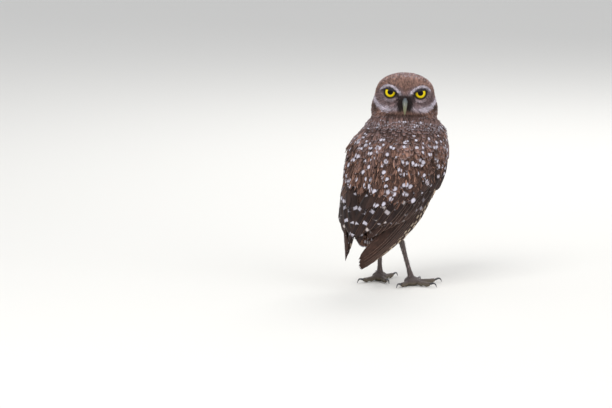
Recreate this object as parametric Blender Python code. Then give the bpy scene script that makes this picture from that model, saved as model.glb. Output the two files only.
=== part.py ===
"""A burrowing owl at life size, standing, head turned over its right shoulder.

The owl faces -Y, its left side is +X and the floor is z = 0. The body and the folded
wings are drawn as level sections, the head as level sections in its own frame, and the
flight and tail feathers are vanes laid on the surface that the wings follow.
"""

import math
import random

import bmesh
import bpy
from mathutils import Matrix, Vector

MM = 0.001
GAP = 0.3 * MM
BODY_ROUND = 48 * MM
SEED = 11

# Fullness of a section: 2 is an ellipse, more is squarer
FULLNESS = 2.3

# Head: where its middle is, and how it is turned from straight ahead
HEAD_AT = Vector((-5.0, -8.5, 201.0)) * MM
HEAD_TURN = math.radians(-138)
HEAD_LIFT = math.radians(-9)
HEAD_ROLL = math.radians(2)
HEAD_FLOOR = -23.5
NECK_SWELL = 1.035

# Sections, in millimetres: height, middle, half width, reach to the front and to the back
HEAD_ROWS = (
    (-23.5, 1.0, 34.2, 24.0, 27.5),
    (-17.0, 0.5, 35.4, 25.5, 29.5),
    (-10.0, 0.0, 34.6, 25.8, 30.5),
    (-2.0, 0.0, 32.4, 25.5, 30.5),
    (6.0, 0.0, 30.6, 25.0, 29.5),
    (12.5, 0.5, 27.6, 22.5, 27.0),
    (17.0, 1.0, 22.6, 18.5, 22.5),
    (20.2, 1.5, 16.6, 13.5, 16.5),
    (22.2, 1.5, 10.5, 8.5, 10.5),
    (23.3, 1.5, 4.0, 3.5, 4.0),
)
HEAD_HEIGHTS = (
    -23.5, -20.5, -17.5, -14.5, -11.5, -8.5, -5.5, -2.8, -0.4, 2.0,
    4.2, 6.4, 8.8, 11.6, 14.4, 17.0, 19.2, 21.0, 22.3, 23.1,
)
CHEST_ROWS = (
    (168.0, -12.0, 38.0, 39.0, 37.5),
    (160.0, -9.5, 43.5, 47.0, 43.5),
    (150.0, -6.0, 45.5, 51.5, 46.0),
    (135.0, -2.0, 45.5, 54.0, 45.5),
    (120.0, 2.0, 45.5, 54.0, 45.5),
    (106.0, 6.0, 44.0, 50.5, 45.0),
)
BELLY_ROWS = (
    (92.0, 10.0, 41.0, 45.0, 44.5),
    (80.0, 13.0, 37.0, 36.0, 38.0),
    (70.0, 16.5, 30.0, 25.5, 27.0),
    (62.0, 19.5, 22.5, 17.5, 20.5),
    (56.0, 22.0, 14.5, 11.0, 13.5),
    (52.5, 23.5, 6.0, 4.5, 6.0),
)
FOLD_ROWS = (
    (92.0, 11.0, 43.0, 45.0, 45.0),
    (80.0, 16.0, 41.0, 41.0, 43.0),
    (70.0, 21.0, 38.5, 37.0, 40.0),
    (56.0, 29.0, 32.0, 30.0, 32.0),
    (44.0, 37.5, 24.5, 22.0, 26.5),
    (34.0, 46.0, 17.5, 16.0, 22.0),
    (24.0, 55.5, 11.5, 12.0, 17.0),
    (16.0, 61.5, 8.0, 9.0, 13.0),
)
TORSO_ROWS = CHEST_ROWS + BELLY_ROWS
TORSO_HEIGHTS = (168, 163.5, 158, 151, 143, 134, 125, 116, 107, 98, 90, 82, 75, 69, 63, 58, 55, 53)
TORSO_SIDES = 32
WING_ROWS = CHEST_ROWS + FOLD_ROWS

# Eyes: ball, place of its middle, and the opening of the lids around it
EYE_RADIUS = 8.6
EYE_AT = (15.9, -16.2, 1.6)
LID_HALF_WIDTH = 6.6
LID_RISE = 3.3
LID_SLANT = 0.5
LID_DROP = 6.2
LID_THICK = 1.25

# Bill, in the head's frame: reach forward, height, half width, half depth
BILL_TOP = (
    (-20.0, -7.0, 3.1, 4.8),
    (-25.0, -7.6, 3.0, 4.6),
    (-28.6, -9.4, 2.8, 4.2),
    (-31.2, -12.6, 2.4, 3.5),
    (-32.0, -16.4, 1.8, 2.5),
    (-31.4, -19.8, 1.1, 1.5),
    (-30.2, -22.4, 0.4, 0.5),
)
BILL_UNDER = (
    (-19.0, -15.4, 2.7, 2.3),
    (-23.0, -16.4, 2.4, 2.1),
    (-26.0, -17.5, 1.9, 1.6),
    (-27.9, -18.5, 1.0, 0.8),
)
# Line of the mouth behind the bill, and how far into the face it is cut
MOUTH_LINE = ((2.4, -26.5, -13.6), (5.2, -25.2, -14.6), (8.4, -23.0, -16.4))
MOUTH_DEPTH = 4.0
MOUTH_GAPE = 0.45
NOSTRIL_AT = (2.9, -26.8, -5.9)
NOSTRIL_RADIUS = 0.95

# Legs and feet
FOOT_AT = (22.5, 0.0)
HOCK_AT = (15.0, 8.5, 48.0)
# Tarsus, from the palm up: part of its length, radius
TARSUS_RINGS = ((0.0, 4.4), (0.12, 3.2), (0.3, 2.3), (0.6, 2.3), (0.88, 2.9), (1.0, 3.4))
PALM_RADIUS = 8.4
PALM_HEIGHT = 5.4
TOE_START = 7.4
# Shank: sideways, back, height, radius
SHANK_RINGS = (
    (16.0, 1.0, 82.0, 11.5),
    (17.0, 3.0, 72.0, 11.5),
    (17.0, 6.0, 63.0, 9.0),
    (16.0, 8.5, 55.0, 5.6),
    (15.1, 8.6, 48.8, 4.0),
)
# Toes: number, its heading from straight ahead towards the outside, and its length
TOES = {
    1: ((("right", 174.0), ("left", -118.0)), 12.0),
    2: ((("right", -24.0), ("left", 5.0)), 16.0),
    3: ((("right", 18.0), ("left", 48.0)), 21.0),
    4: ((("right", 82.0), ("left", 172.0)), 15.5),
}
# Along a toe: part of its length, height of its middle, radius
TOE_RINGS = (
    (0.0, 3.9, 2.35),
    (0.14, 3.3, 2.7),
    (0.3, 2.55, 2.85),
    (0.5, 2.9, 2.3),
    (0.72, 2.35, 2.65),
    (0.88, 2.7, 2.4),
    (1.0, 3.2, 1.75),
)
CLAW_REACH = 8.2
CLAW_RADIUS = 1.45

# Tail: root and tip of the middle feathers, and the fan
TAIL_ROOT = Vector((0.0, 44.0, 84.0)) * MM
TAIL_TIP = Vector((0.0, 49.0, 43.5)) * MM
TAIL_PAIRS = 6
TAIL_HALF_WIDTH = 4.6
TAIL_ROOT_STEP = 1.5
TAIL_TIP_STEP = 2.5
TAIL_DROP = 0.25
TAIL_ROUND = 45.0
TAIL_ROWS = (
    (86.0, 38.0, 13.0, 8.0, 12.0),
    (76.0, 42.0, 16.0, 11.0, 10.5),
    (67.0, 44.5, 15.0, 9.0, 7.5),
    (60.0, 46.0, 12.0, 6.5, 5.5),
    (55.0, 47.0, 8.0, 4.0, 4.0),
    (52.0, 47.5, 4.0, 2.5, 2.5),
)
TAIL_HEIGHTS = (86, 80, 74, 68, 63, 58.5, 55.5, 52.5)
TAIL_SIDES = 18

# Folded wing: edges of its core as heights and angles from the middle of the back
WING_TOP = 157.0
WING_BACK = ((157.0, 44.0), (140.0, 28.0), (120.0, 13.0), (102.0, 4.0), (80.0, 3.0))
WING_FRONT = ((157.0, 100.0), (148.0, 115.0), (132.0, 124.0), (112.0, 124.0), (92.0, 117.0))
WING_FLOOR = ((0.0, 86.0), (0.5, 82.0), (1.0, 90.0))
WING_INSIDE = 0.7
WING_THICK = 6.6

# Tiers of a folded wing, each from its front feather to its back one: how many, roots and
# tips as (height, angle), half width, how far out the vane runs, its bow and its rings
VANE_TIERS = (
    ("primary", 7, ((108, 107), (101, 82)), ((33, 75), (41, 28)), 4.9, 1.7, 7.0, 6),
    ("secondary", 8, ((106, 88), (112, 23)), ((75, 82), (53, 17)), 4.4, 3.0, 0.0, 5),
    ("tertial", 3, ((116, 30), (120, 14)), ((76, 18), (59, 7.5)), 5.5, 4.3, 0.0, 5),
    ("greater_covert", 9, ((118, 110), (128, 30)), ((90, 107), (88, 20)), 4.5, 4.6, 0.0, 5),
    ("median_covert", 8, ((134, 112), (143, 38)), ((107, 111), (108, 28)), 4.9, 6.0, 0.0, 5),
    ("scapular", 4, ((150, 60), (148, 41)), ((122, 34), (103, 10)), 5.0, 6.8, 0.0, 5),
)
# How much lower than an even row the primaries' tips reach in the middle of the row
PRIMARY_POINT = 16.0
LEFT_WING_SHORT = 3.5
VANE_THICK = 0.6
VANE_TILT = 0.14
TIP_SPREAD = 1.2
# How far below the core's face a vane's root lies, and the least height of any vane
ROOT_SUNK = 0.8
VANE_LOWEST = 1.7
CORE_ROWS = 10
CORE_COLUMNS = 11

COLOURS = {
    "plumage": ((0.14, 0.085, 0.06), 0.85),
    "belly": ((0.55, 0.45, 0.34), 0.85),
    "eye": ((0.75, 0.6, 0.02), 0.1),
    "bill": ((0.42, 0.42, 0.28), 0.45),
    "scale": ((0.12, 0.1, 0.085), 0.6),
    "claw": ((0.03, 0.03, 0.04), 0.35),
}


def clear_scene():
    for obj in list(bpy.data.objects):
        bpy.data.objects.remove(obj, do_unlink=True)


def finish(name):
    """The Principled material of a finish, made once."""
    found = bpy.data.materials.get(name)
    if found:
        return found
    colour, roughness = COLOURS[name]
    made = bpy.data.materials.new(name)
    made.use_nodes = True
    shader = made.node_tree.nodes["Principled BSDF"]
    shader.inputs["Base Color"].default_value = (*colour, 1.0)
    shader.inputs["Roughness"].default_value = roughness
    shader.inputs["Metallic"].default_value = 0.0
    made.diffuse_color = (*colour, 1.0)
    return made


def blend(rows, x):
    """The rows' other columns at x, on a smooth curve through the rows."""
    rising = sorted(rows)
    if x <= rising[0][0]:
        return list(rising[0][1:])
    if x >= rising[-1][0]:
        return list(rising[-1][1:])
    k = max(i for i, row in enumerate(rising) if row[0] <= x)
    k = min(k, len(rising) - 2)
    low, high = rising[k], rising[k + 1]
    step = high[0] - low[0]
    t = (x - low[0]) / step
    before = rising[k - 1] if k > 0 else low
    after = rising[k + 2] if k + 2 < len(rising) else high
    values = []
    for a, b, c, d in zip(before[1:], low[1:], high[1:], after[1:]):
        slope_in = (c - a) / (high[0] - before[0]) * step
        slope_out = (d - b) / (after[0] - low[0]) * step
        values.append(
            b * (2 * t**3 - 3 * t**2 + 1)
            + slope_in * (t**3 - 2 * t**2 + t)
            + c * (3 * t**2 - 2 * t**3)
            + slope_out * (t**3 - t**2)
        )
    return values


def full(value):
    return math.copysign(abs(value) ** (2 / FULLNESS), value)


def section_point(rows, height, angle, out=0.0):
    """A point of a level section; angle 0 is the middle of the back, a quarter turn the left."""
    middle, half, front, back = blend(rows, height)
    s, c = math.sin(angle), math.cos(angle)
    reach = back if c > 0 else front
    return Vector((full(s) * (half + out), middle + full(c) * (reach + out), height)) * MM


def mesh_object(name, bm, colour):
    """A named object in the scene with the bmesh's shape, facing out, shaded smooth."""
    if bm.calc_volume(signed=True) < 0:
        bmesh.ops.reverse_faces(bm, faces=bm.faces[:])
    mesh = bpy.data.meshes.new(name)
    bm.to_mesh(mesh)
    bm.free()
    obj = bpy.data.objects.new(name, mesh)
    bpy.context.scene.collection.objects.link(obj)
    mesh.materials.append(finish(colour))
    mesh.shade_smooth()
    mesh.set_sharp_from_angle(angle=math.radians(50))
    return obj


def loft(name, rings, colour):
    """A closed body through rings of equally many points, its ends closed by fans."""
    bm = bmesh.new()
    loops = [[bm.verts.new(point) for point in ring] for ring in rings]
    count = len(loops[0])
    for lower, upper in zip(loops, loops[1:]):
        for i in range(count):
            j = (i + 1) % count
            bm.faces.new((lower[i], lower[j], upper[j], upper[i]))
    for loop in (loops[0], loops[-1]):
        hub = bm.verts.new(sum((v.co for v in loop), Vector()) / count)
        for i in range(count):
            bm.faces.new((loop[i], loop[(i + 1) % count], hub))
    bmesh.ops.recalc_face_normals(bm, faces=bm.faces[:])
    return mesh_object(name, bm, colour)


def slab(name, under, over, colour):
    """A closed plate between two grids of points, both faces split alike."""
    bm = bmesh.new()
    low = [[bm.verts.new(point) for point in row] for row in under]
    high = [[bm.verts.new(point) for point in row] for row in over]
    rows, columns = len(low), len(low[0])
    for grid in (low, high):
        for i in range(rows - 1):
            for j in range(columns - 1):
                a, b = grid[i][j], grid[i][j + 1]
                c, d = grid[i + 1][j + 1], grid[i + 1][j]
                bm.faces.new((a, b, c))
                bm.faces.new((a, c, d))
    rim = [(0, j) for j in range(columns)]
    rim += [(i, columns - 1) for i in range(1, rows)]
    rim += [(rows - 1, j) for j in range(columns - 2, -1, -1)]
    rim += [(i, 0) for i in range(rows - 2, 0, -1)]
    for (i, j), (k, m) in zip(rim, rim[1:] + rim[:1]):
        bm.faces.new((low[i][j], low[k][m], high[k][m], high[i][j]))
    bmesh.ops.recalc_face_normals(bm, faces=bm.faces[:])
    return mesh_object(name, bm, colour)


def apply_modifiers(obj):
    graph = bpy.context.evaluated_depsgraph_get()
    made = bpy.data.meshes.new_from_object(obj.evaluated_get(graph))
    obj.modifiers.clear()
    obj.data = made


def keep_largest(obj):
    """Leaves only the closed surface of largest volume."""
    bm = bmesh.new()
    bm.from_mesh(obj.data)
    left = set(bm.faces)
    shells = []
    while left:
        seed = left.pop()
        shell, front = {seed}, [seed]
        while front:
            for edge in front.pop().edges:
                for face in edge.link_faces:
                    if face in left:
                        left.discard(face)
                        shell.add(face)
                        front.append(face)
        shells.append(shell)

    def volume(shell):
        total = 0.0
        for face in shell:
            a = face.verts[0].co
            for b, c in zip(face.verts[1:], face.verts[2:]):
                total += a.dot(b.co.cross(c.co)) / 6
        return total

    best = max(shells, key=volume)
    bmesh.ops.delete(bm, geom=[f for f in bm.faces if f not in best], context="FACES")
    bm.to_mesh(obj.data)
    bm.free()


def fuse(base, pieces, solver="EXACT"):
    """Joins the pieces to the base by one union and removes them."""
    group = bpy.data.collections.new("pieces")
    bpy.context.scene.collection.children.link(group)
    for piece in pieces:
        bpy.context.scene.collection.objects.unlink(piece)
        group.objects.link(piece)
    union = base.modifiers.new("union", "BOOLEAN")
    union.operation = "UNION"
    union.operand_type = "COLLECTION"
    union.collection = group
    union.solver = solver
    apply_modifiers(base)
    for piece in pieces:
        bpy.data.objects.remove(piece, do_unlink=True)
    bpy.data.collections.remove(group)
    keep_largest(base)


def cut(obj, cutter):
    """Takes the cutter's shape out of the object."""
    bite = obj.modifiers.new("cut", "BOOLEAN")
    bite.operation = "DIFFERENCE"
    bite.object = cutter
    bite.solver = "EXACT"
    apply_modifiers(obj)
    keep_largest(obj)


def swollen(obj, by=GAP):
    """A copy that stands out by a gap all over, to cut a neighbour with."""
    bm = bmesh.new()
    bm.from_mesh(obj.data)
    bm.normal_update()
    for vert in bm.verts:
        vert.co += vert.normal * by * 1.15
    return mesh_object(obj.name + "_clear", bm, "plumage")


def discard(obj):
    bpy.data.objects.remove(obj, do_unlink=True)


def place(obj, matrix):
    obj.data.transform(matrix)
    obj.data.update()


def head_frame():
    turn = Matrix.Rotation(HEAD_TURN, 4, "Z")
    lift = Matrix.Rotation(HEAD_LIFT, 4, "X")
    roll = Matrix.Rotation(HEAD_ROLL, 4, "Y")
    return Matrix.Translation(HEAD_AT) @ turn @ lift @ roll


def bump(distance, width):
    return math.exp(-((distance / width) ** 2))


def to_segment(x, z, ends):
    """Distance from (x, z) to a segment in the plane of the face."""
    (ax, az), (bx, bz) = ends
    dx, dz = bx - ax, bz - az
    t = max(0.0, min(1.0, ((x - ax) * dx + (z - az) * dz) / (dx * dx + dz * dz)))
    return math.hypot(x - ax - t * dx, z - az - t * dz)


def face_relief(x, z):
    """How far the face stands out from the plain head, in millimetres."""
    x = abs(x)
    from_eye = math.hypot(x - EYE_AT[0], z - EYE_AT[2] + 1.0)
    hollow = -2.8 * bump(from_eye, 9.0)
    brow = 2.4 * bump(to_segment(x, z, ((4.8, -0.3), (13.0, 7.0))), 2.5)
    brow += 1.8 * bump(to_segment(x, z, ((13.0, 7.0), (23.5, 7.4))), 2.5)
    disc = math.hypot((x - 14.5) / 17.5, (z + 4.0) / 16.5)
    rim = 1.5 * bump(disc - 1.0, 0.13) * (1.0 if z < 3.0 else 0.0)
    bridge = 1.2 * bump(x, 4.0) * bump(z + 4.0, 6.0)
    return hollow + brow + rim + bridge


def build_head():
    """Head with its disc, brows, lids and the corners of the mouth."""
    angles = [math.radians(a) for a in range(-112, 112, 16)]
    angles += [math.radians(a) for a in range(112, 248, 8)]
    rings = []
    for height in HEAD_HEIGHTS:
        ring = []
        for angle in angles:
            point = section_point(HEAD_ROWS, height, angle)
            if math.cos(angle) < 0:
                facing = min(1.0, -2.0 * math.cos(angle))
                relief = face_relief(point.x / MM, height) * facing
                point.y -= relief * MM
            ring.append(point)
        rings.append(ring)
    head = loft("head", rings, "plumage")
    lids = []
    for side in (-1, 1):
        lids.append(lid_ring(side))
    fuse(head, lids)
    for side in (-1, 1):
        socket = eyeball("socket", side, EYE_RADIUS + 0.3)
        cut(head, socket)
        discard(socket)
        corner = mouth_corner(side)
        cut(head, corner)
        discard(corner)
    return head


def lid_ring(side):
    """The lids as a ring that lies on the eyeball."""
    steps, sides = 16, 5
    bm = bmesh.new()
    middle = Vector((side * EYE_AT[0], EYE_AT[1], EYE_AT[2]))
    loops = []
    for i in range(steps):
        turn = 2 * math.pi * i / steps
        inward = max(0.0, -side * math.cos(turn))
        rise = LID_RISE * (1.0 - LID_SLANT * inward) if math.sin(turn) > 0 else LID_DROP
        flat = Vector((LID_HALF_WIDTH * math.cos(turn), 0.0, rise * math.sin(turn)))
        lift = math.sqrt((EYE_RADIUS + 0.4) ** 2 - flat.length_squared)
        spot = flat + Vector((0.0, -lift, 0.0))
        outward = flat.normalized()
        loop = []
        for k in range(sides):
            around = 2 * math.pi * k / sides
            offset = outward * math.cos(around) + Vector((0.0, -1.0, 0.0)) * math.sin(around)
            loop.append(bm.verts.new((middle + spot + offset * LID_THICK) * MM))
        loops.append(loop)
    for a, b in zip(loops, loops[1:] + loops[:1]):
        for k in range(sides):
            m = (k + 1) % sides
            bm.faces.new((a[k], a[m], b[m], b[k]))
    bmesh.ops.recalc_face_normals(bm, faces=bm.faces[:])
    return mesh_object("lid", bm, "plumage")


def eyeball(name, side, radius):
    bm = bmesh.new()
    bmesh.ops.create_uvsphere(bm, u_segments=18, v_segments=10, radius=radius * MM)
    bmesh.ops.rotate(bm, verts=bm.verts[:], matrix=Matrix.Rotation(math.pi / 2, 3, "X"))
    at = Vector((side * EYE_AT[0], EYE_AT[1], EYE_AT[2])) * MM
    bmesh.ops.translate(bm, verts=bm.verts[:], vec=at)
    return mesh_object(name, bm, "eye")


def mouth_corner(side):
    """A thin wedge that carries the line of the mouth back from the bill."""
    under, over = [], []
    for x, y, z in MOUTH_LINE:
        for rows, way in ((under, -1), (over, 1)):
            outer = Vector((side * x, y - MOUTH_DEPTH, z + way * MOUTH_GAPE)) * MM
            inner = Vector((side * x, y + MOUTH_DEPTH, z + way * 0.7 * MOUTH_GAPE)) * MM
            rows.append([outer, inner])
    return slab("corner", under, over, "plumage")


def bill_part(name, rows, sides=10):
    """A curved, tapered half of the bill, its sections square to its path."""
    rings = []
    path = [Vector((0.0, row[0], row[1])) for row in rows]
    for i, row in enumerate(rows):
        ahead = path[min(i + 1, len(path) - 1)] - path[max(i - 1, 0)]
        ahead.normalize()
        side = Vector((1.0, 0.0, 0.0))
        up = ahead.cross(side)
        ring = []
        for k in range(sides):
            turn = 2 * math.pi * (k + 0.5) / sides
            spot = side * row[2] * math.cos(turn) + up * row[3] * math.sin(turn)
            ring.append((path[i] + spot) * MM)
        rings.append(ring)
    return loft(name, rings, "bill")


def build_bill(head):
    """Both halves of the bill, cut clear of the face and of each other."""
    upper = bill_part("bill_upper", BILL_TOP)
    for side in (-1, 1):
        bm = bmesh.new()
        bmesh.ops.create_icosphere(bm, subdivisions=1, radius=NOSTRIL_RADIUS * MM)
        at = Vector((side * NOSTRIL_AT[0], NOSTRIL_AT[1], NOSTRIL_AT[2])) * MM
        bmesh.ops.translate(bm, verts=bm.verts[:], vec=at)
        nostril = mesh_object("nostril", bm, "bill")
        cut(upper, nostril)
        discard(nostril)
    lower = bill_part("bill_lower", BILL_UNDER)
    face = swollen(head)
    cut(upper, face)
    cut(lower, face)
    discard(face)
    over = swollen(upper)
    cut(lower, over)
    discard(over)
    return upper, lower


def build_torso():
    turns = [2 * math.pi * k / TORSO_SIDES for k in range(TORSO_SIDES)]
    rings = []
    for height in TORSO_HEIGHTS:
        rings.append([section_point(TORSO_ROWS, height, turn) for turn in turns])
    return loft("torso", rings, "belly")


def build_neck(frame):
    """The short neck between the flat top of the torso and the flat floor of the head."""
    turns = [2 * math.pi * k / TORSO_SIDES for k in range(TORSO_SIDES)]
    lift = Vector((0.0, 0.0, GAP))
    bottom = [section_point(CHEST_ROWS, CHEST_ROWS[0][0], turn) + lift for turn in turns]
    top = [frame @ (section_point(HEAD_ROWS, HEAD_FLOOR, turn + HEAD_TURN) - lift) for turn in turns]
    rings = [bottom]
    for part in (0.35, 0.7):
        ring = [a.lerp(b, part) for a, b in zip(bottom, top)]
        heart = sum(ring, Vector()) / TORSO_SIDES
        rings.append([heart + (p - heart) * NECK_SWELL for p in ring])
    return loft("neck", rings + [top], "plumage")


def tube(name, path, radii, sides, colour, floor=None, upright=False):
    """A round body along a path; what would pass below the floor lies flat on it."""
    rings = []
    for i, spot in enumerate(path):
        ahead = path[min(i + 1, len(path) - 1)] - path[max(i - 1, 0)]
        ahead.normalize()
        side = Vector((1.0, 0.0, 0.0)) if upright else ahead.cross(Vector((0.0, 0.0, 1.0)))
        side = (side - ahead * side.dot(ahead)).normalized()
        up = side.cross(ahead)
        ring = []
        for k in range(sides):
            turn = 2 * math.pi * (k + 0.5) / sides
            point = spot + (side * math.cos(turn) + up * math.sin(turn)) * radii[i]
            if floor is not None:
                point.z = max(point.z, floor)
            ring.append(point)
        rings.append(ring)
    return loft(name, rings, colour)


def heading(which, side_name):
    """Level direction of a toe and its length."""
    angles, length = TOES[which]
    angle = math.radians(dict(angles)[side_name])
    outward = 1 if side_name == "left" else -1
    return Vector((outward * math.sin(angle), -math.cos(angle), 0.0)), length * MM


def build_leg(side_name, torso_clear):
    """Shank, tarsus with the palm, four toes and four claws of one side."""
    outward = 1 if side_name == "left" else -1
    palm = Vector((outward * FOOT_AT[0], FOOT_AT[1], 0.0)) * MM
    path = [Vector((outward * x, y, z)) * MM for x, y, z, _ in SHANK_RINGS]
    radii = [r * MM for *_, r in SHANK_RINGS]
    shank = tube("shank_" + side_name, path, radii, 14, "belly", upright=True)
    cut(shank, torso_clear)

    hock = Vector((outward * HOCK_AT[0], HOCK_AT[1], HOCK_AT[2])) * MM
    base = palm + Vector((0.0, 0.0, PALM_HEIGHT * MM))
    path = [base.lerp(hock, part) for part, _ in TARSUS_RINGS]
    radii = [radius * MM for _, radius in TARSUS_RINGS]
    tarsus = tube("tarsus_" + side_name, path, radii, 10, "scale", upright=True)
    bm = bmesh.new()
    bmesh.ops.create_uvsphere(bm, u_segments=16, v_segments=8, radius=PALM_RADIUS * MM)
    bmesh.ops.scale(bm, verts=bm.verts[:], vec=(1.0, 1.0, PALM_HEIGHT / PALM_RADIUS))
    bmesh.ops.translate(bm, verts=bm.verts[:], vec=palm + Vector((0.0, 0.0, 4.2 * MM)))
    for vert in bm.verts:
        vert.co.z = max(vert.co.z, 0.0)
    fuse(tarsus, [mesh_object("palm", bm, "scale")])
    clear = swollen(shank)
    cut(tarsus, clear)
    discard(clear)

    for which in TOES:
        ahead, length = heading(which, side_name)
        toe_path, toe_radii = [], []
        for part, height, radius in TOE_RINGS:
            spot = palm + ahead * (TOE_START * MM + length * part)
            toe_path.append(spot + Vector((0.0, 0.0, height * MM)))
            toe_radii.append(radius * MM)
        name = f"toe_{side_name}_{which}"
        toe = tube(name, toe_path, toe_radii, 8, "scale", floor=0.0)
        clear = swollen(toe)
        cut(tarsus, clear)
        discard(clear)
        build_claw(name.replace("toe", "claw"), toe_path[-1], ahead)
    return shank, tarsus


def build_claw(name, root, ahead):
    """A claw that rises a little from the toe and curves down to its point."""
    path, radii = [], []
    count = 7
    for i in range(count):
        t = i / (count - 1)
        out = GAP + CLAW_REACH * MM * math.sin(0.5 * math.pi * t) ** 0.9
        height = root.z + (1.5 * math.sin(math.pi * min(1.0, 1.25 * t)) - 2.9 * t**2.6) * MM
        path.append(Vector((root.x, root.y, height)) + ahead * out)
        radii.append(CLAW_RADIUS * MM * (1.0 - 0.86 * t**1.2))
    return tube(name, path, radii, 6, "claw")


def vane(surface, root, tip, half_width, lift, bow, rings):
    """One feather laid on a surface, its front edge a little raised so that the next slips under.

    surface gives the point for (height, angle, out); root and tip are (height, angle); lift
    gives how far out the feather's middle runs at its root and at its tip, in millimetres.
    """
    shape = ((0.0, 0.55), (0.22, 0.88), (0.5, 1.0), (0.78, 0.95), (0.93, 0.66), (1.0, 0.24))
    if rings == 5:
        shape = ((0.0, 0.6), (0.35, 0.95), (0.7, 1.0), (0.92, 0.68), (1.0, 0.26))

    def centre(s):
        height, angle = (a + (b - a) * s for a, b in zip(root, tip))
        return height, angle + bow * math.sin(math.pi * s), lift[0] + (lift[1] - lift[0]) * s

    under, over = [], []
    for t, wide in shape:
        height, angle, out = centre(t)
        middle = surface(height, angle, out)
        along = (surface(*centre(t + 0.01)) - surface(*centre(t - 0.01))).normalized()
        across = surface(height, angle + 2.0, out) - surface(height, angle - 2.0, out)
        outward = surface(height, angle, out + 1.0) - middle
        normal = along.cross(across).normalized()
        if normal.dot(outward) < 0:
            normal = -normal
        side = normal.cross(along)
        if side.dot(across) < 0:
            side = -side
        reach = half_width * wide * MM
        body = 0.5 * VANE_THICK * (1.0 - 0.3 * t) * MM
        sag = reach * reach / (2 * BODY_ROUND)
        rows = ([], [])
        for edge in (-1, 1):
            spot = middle + side * edge * reach + normal * (VANE_TILT * edge * reach - sag)
            rows[0].append(spot - normal * body)
            rows[1].append(spot + normal * body)
        under.append(rows[0])
        over.append(rows[1])
    return slab("vane", under, over, "plumage")


def wing_surface(outward):
    """The surface that one folded wing follows, as a function of height, angle and reach out."""
    def surface(height, angle, out):
        point = section_point(WING_ROWS, height, math.radians(angle), out)
        point.x *= outward
        return point
    return surface


def wing_core_out(across, down):
    """Thickness of the wing's core, from its back edge to its front and from top to bottom."""
    rise = min(1.0, down / 0.22)
    fall = 1.0 - 0.86 * max(0.0, down - 0.22) / 0.78
    edge = min(1.0, 0.45 + across / 0.25, 0.3 + (1.0 - across) / 0.2)
    return WING_INSIDE + 0.7 + (WING_THICK - 0.7) * math.sqrt(rise) * fall * edge


def wing_core_place(across, down):
    """(height, angle) on the wing's surface of a point of its core."""
    floor = blend(WING_FLOOR, across)[0]
    height = WING_TOP + (floor - WING_TOP) * down
    back = blend(WING_BACK, height)[0]
    front = blend(WING_FRONT, height)[0]
    return height, back + (front - back) * across


def wing_core_over(height, angle):
    """How far out the wing's core reaches above a place on the wing's surface."""
    back = blend(WING_BACK, height)[0]
    front = blend(WING_FRONT, height)[0]
    across = max(0.0, min(1.0, (angle - back) / (front - back)))
    floor = blend(WING_FLOOR, across)[0]
    return wing_core_out(across, (WING_TOP - height) / (WING_TOP - floor))


def build_wing(side_name):
    outward = 1 if side_name == "left" else -1
    surface = wing_surface(outward)
    under, over = [], []
    for i in range(CORE_ROWS):
        down = i / (CORE_ROWS - 1)
        row_under, row_over = [], []
        for j in range(CORE_COLUMNS):
            across = j / (CORE_COLUMNS - 1)
            height, angle = wing_core_place(across, down)
            row_under.append(surface(height, angle, WING_INSIDE))
            row_over.append(surface(height, angle, wing_core_out(across, down)))
        under.append(row_under)
        over.append(row_over)
    wing = slab("wing_" + side_name, under, over, "plumage")
    fuse(wing, wing_vanes(side_name, surface))
    return wing


def wing_vanes(side_name, surface):
    """The feathers of one folded wing, tier by tier from the lowest layer out."""
    made = []
    for name, count, roots, tips, half_width, out, bow, rings in VANE_TIERS:
        for i in range(count):
            part = i / (count - 1)
            root = [a + (b - a) * part for a, b in zip(*roots)]
            tip = [a + (b - a) * part for a, b in zip(*tips)]
            tip[0] += random.uniform(-TIP_SPREAD, TIP_SPREAD)
            if name == "primary":
                tip[0] -= PRIMARY_POINT * math.sin(math.pi * min(1.0, 0.15 + 0.85 * part)) ** 0.8
                tip[0] += LEFT_WING_SHORT if side_name == "left" else 0.0
            width = half_width * random.uniform(0.95, 1.05)
            lift = max(VANE_LOWEST, min(out, wing_core_over(*root) - ROOT_SUNK))
            made.append(vane(surface, root, tip, width, (lift, min(lift + 0.5, out)), bow, rings))
    return made


def build_tail(torso_clear):
    """Tail root with its coverts, and the tail feathers."""
    rings = []
    for height in TAIL_HEIGHTS:
        turns = [2 * math.pi * k / TAIL_SIDES for k in range(TAIL_SIDES)]
        rings.append([section_point(TAIL_ROWS, height, turn) for turn in turns])
    tail = loft("tail", rings, "plumage")
    fuse(tail, tail_vanes(), "MANIFOLD")
    cut(tail, torso_clear)
    return tail


def tail_surface(height, spread, out):
    """The tail's fan: height along it from root (1) to tip (0), and place across in millimetres."""
    along = TAIL_TIP - TAIL_ROOT
    normal = Vector((0.0, -along.z, along.y)).normalized()
    droop = spread * spread / (2 * TAIL_ROUND)
    return TAIL_TIP - along * height + Vector((spread, 0.0, 0.0)) * MM + normal * (out - droop) * MM


def tail_vanes():
    """Twelve tail feathers, the middle pair on top and each next pair under the last."""
    made = []
    for side in (-1, 1):
        for i in range(TAIL_PAIRS):
            def fan(height, spread, out):
                return tail_surface(height, side * spread, out)
            root = (0.92, 0.4 * TAIL_HALF_WIDTH + TAIL_ROOT_STEP * i)
            tip = (0.015 * i * i / 2 + random.uniform(0.0, 0.015), 2.2 + TAIL_TIP_STEP * i)
            out = 1.2 - TAIL_DROP * i
            made.append(vane(fan, root, tip, TAIL_HALF_WIDTH, (out, out), 0.0, 5))
    return made


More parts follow.
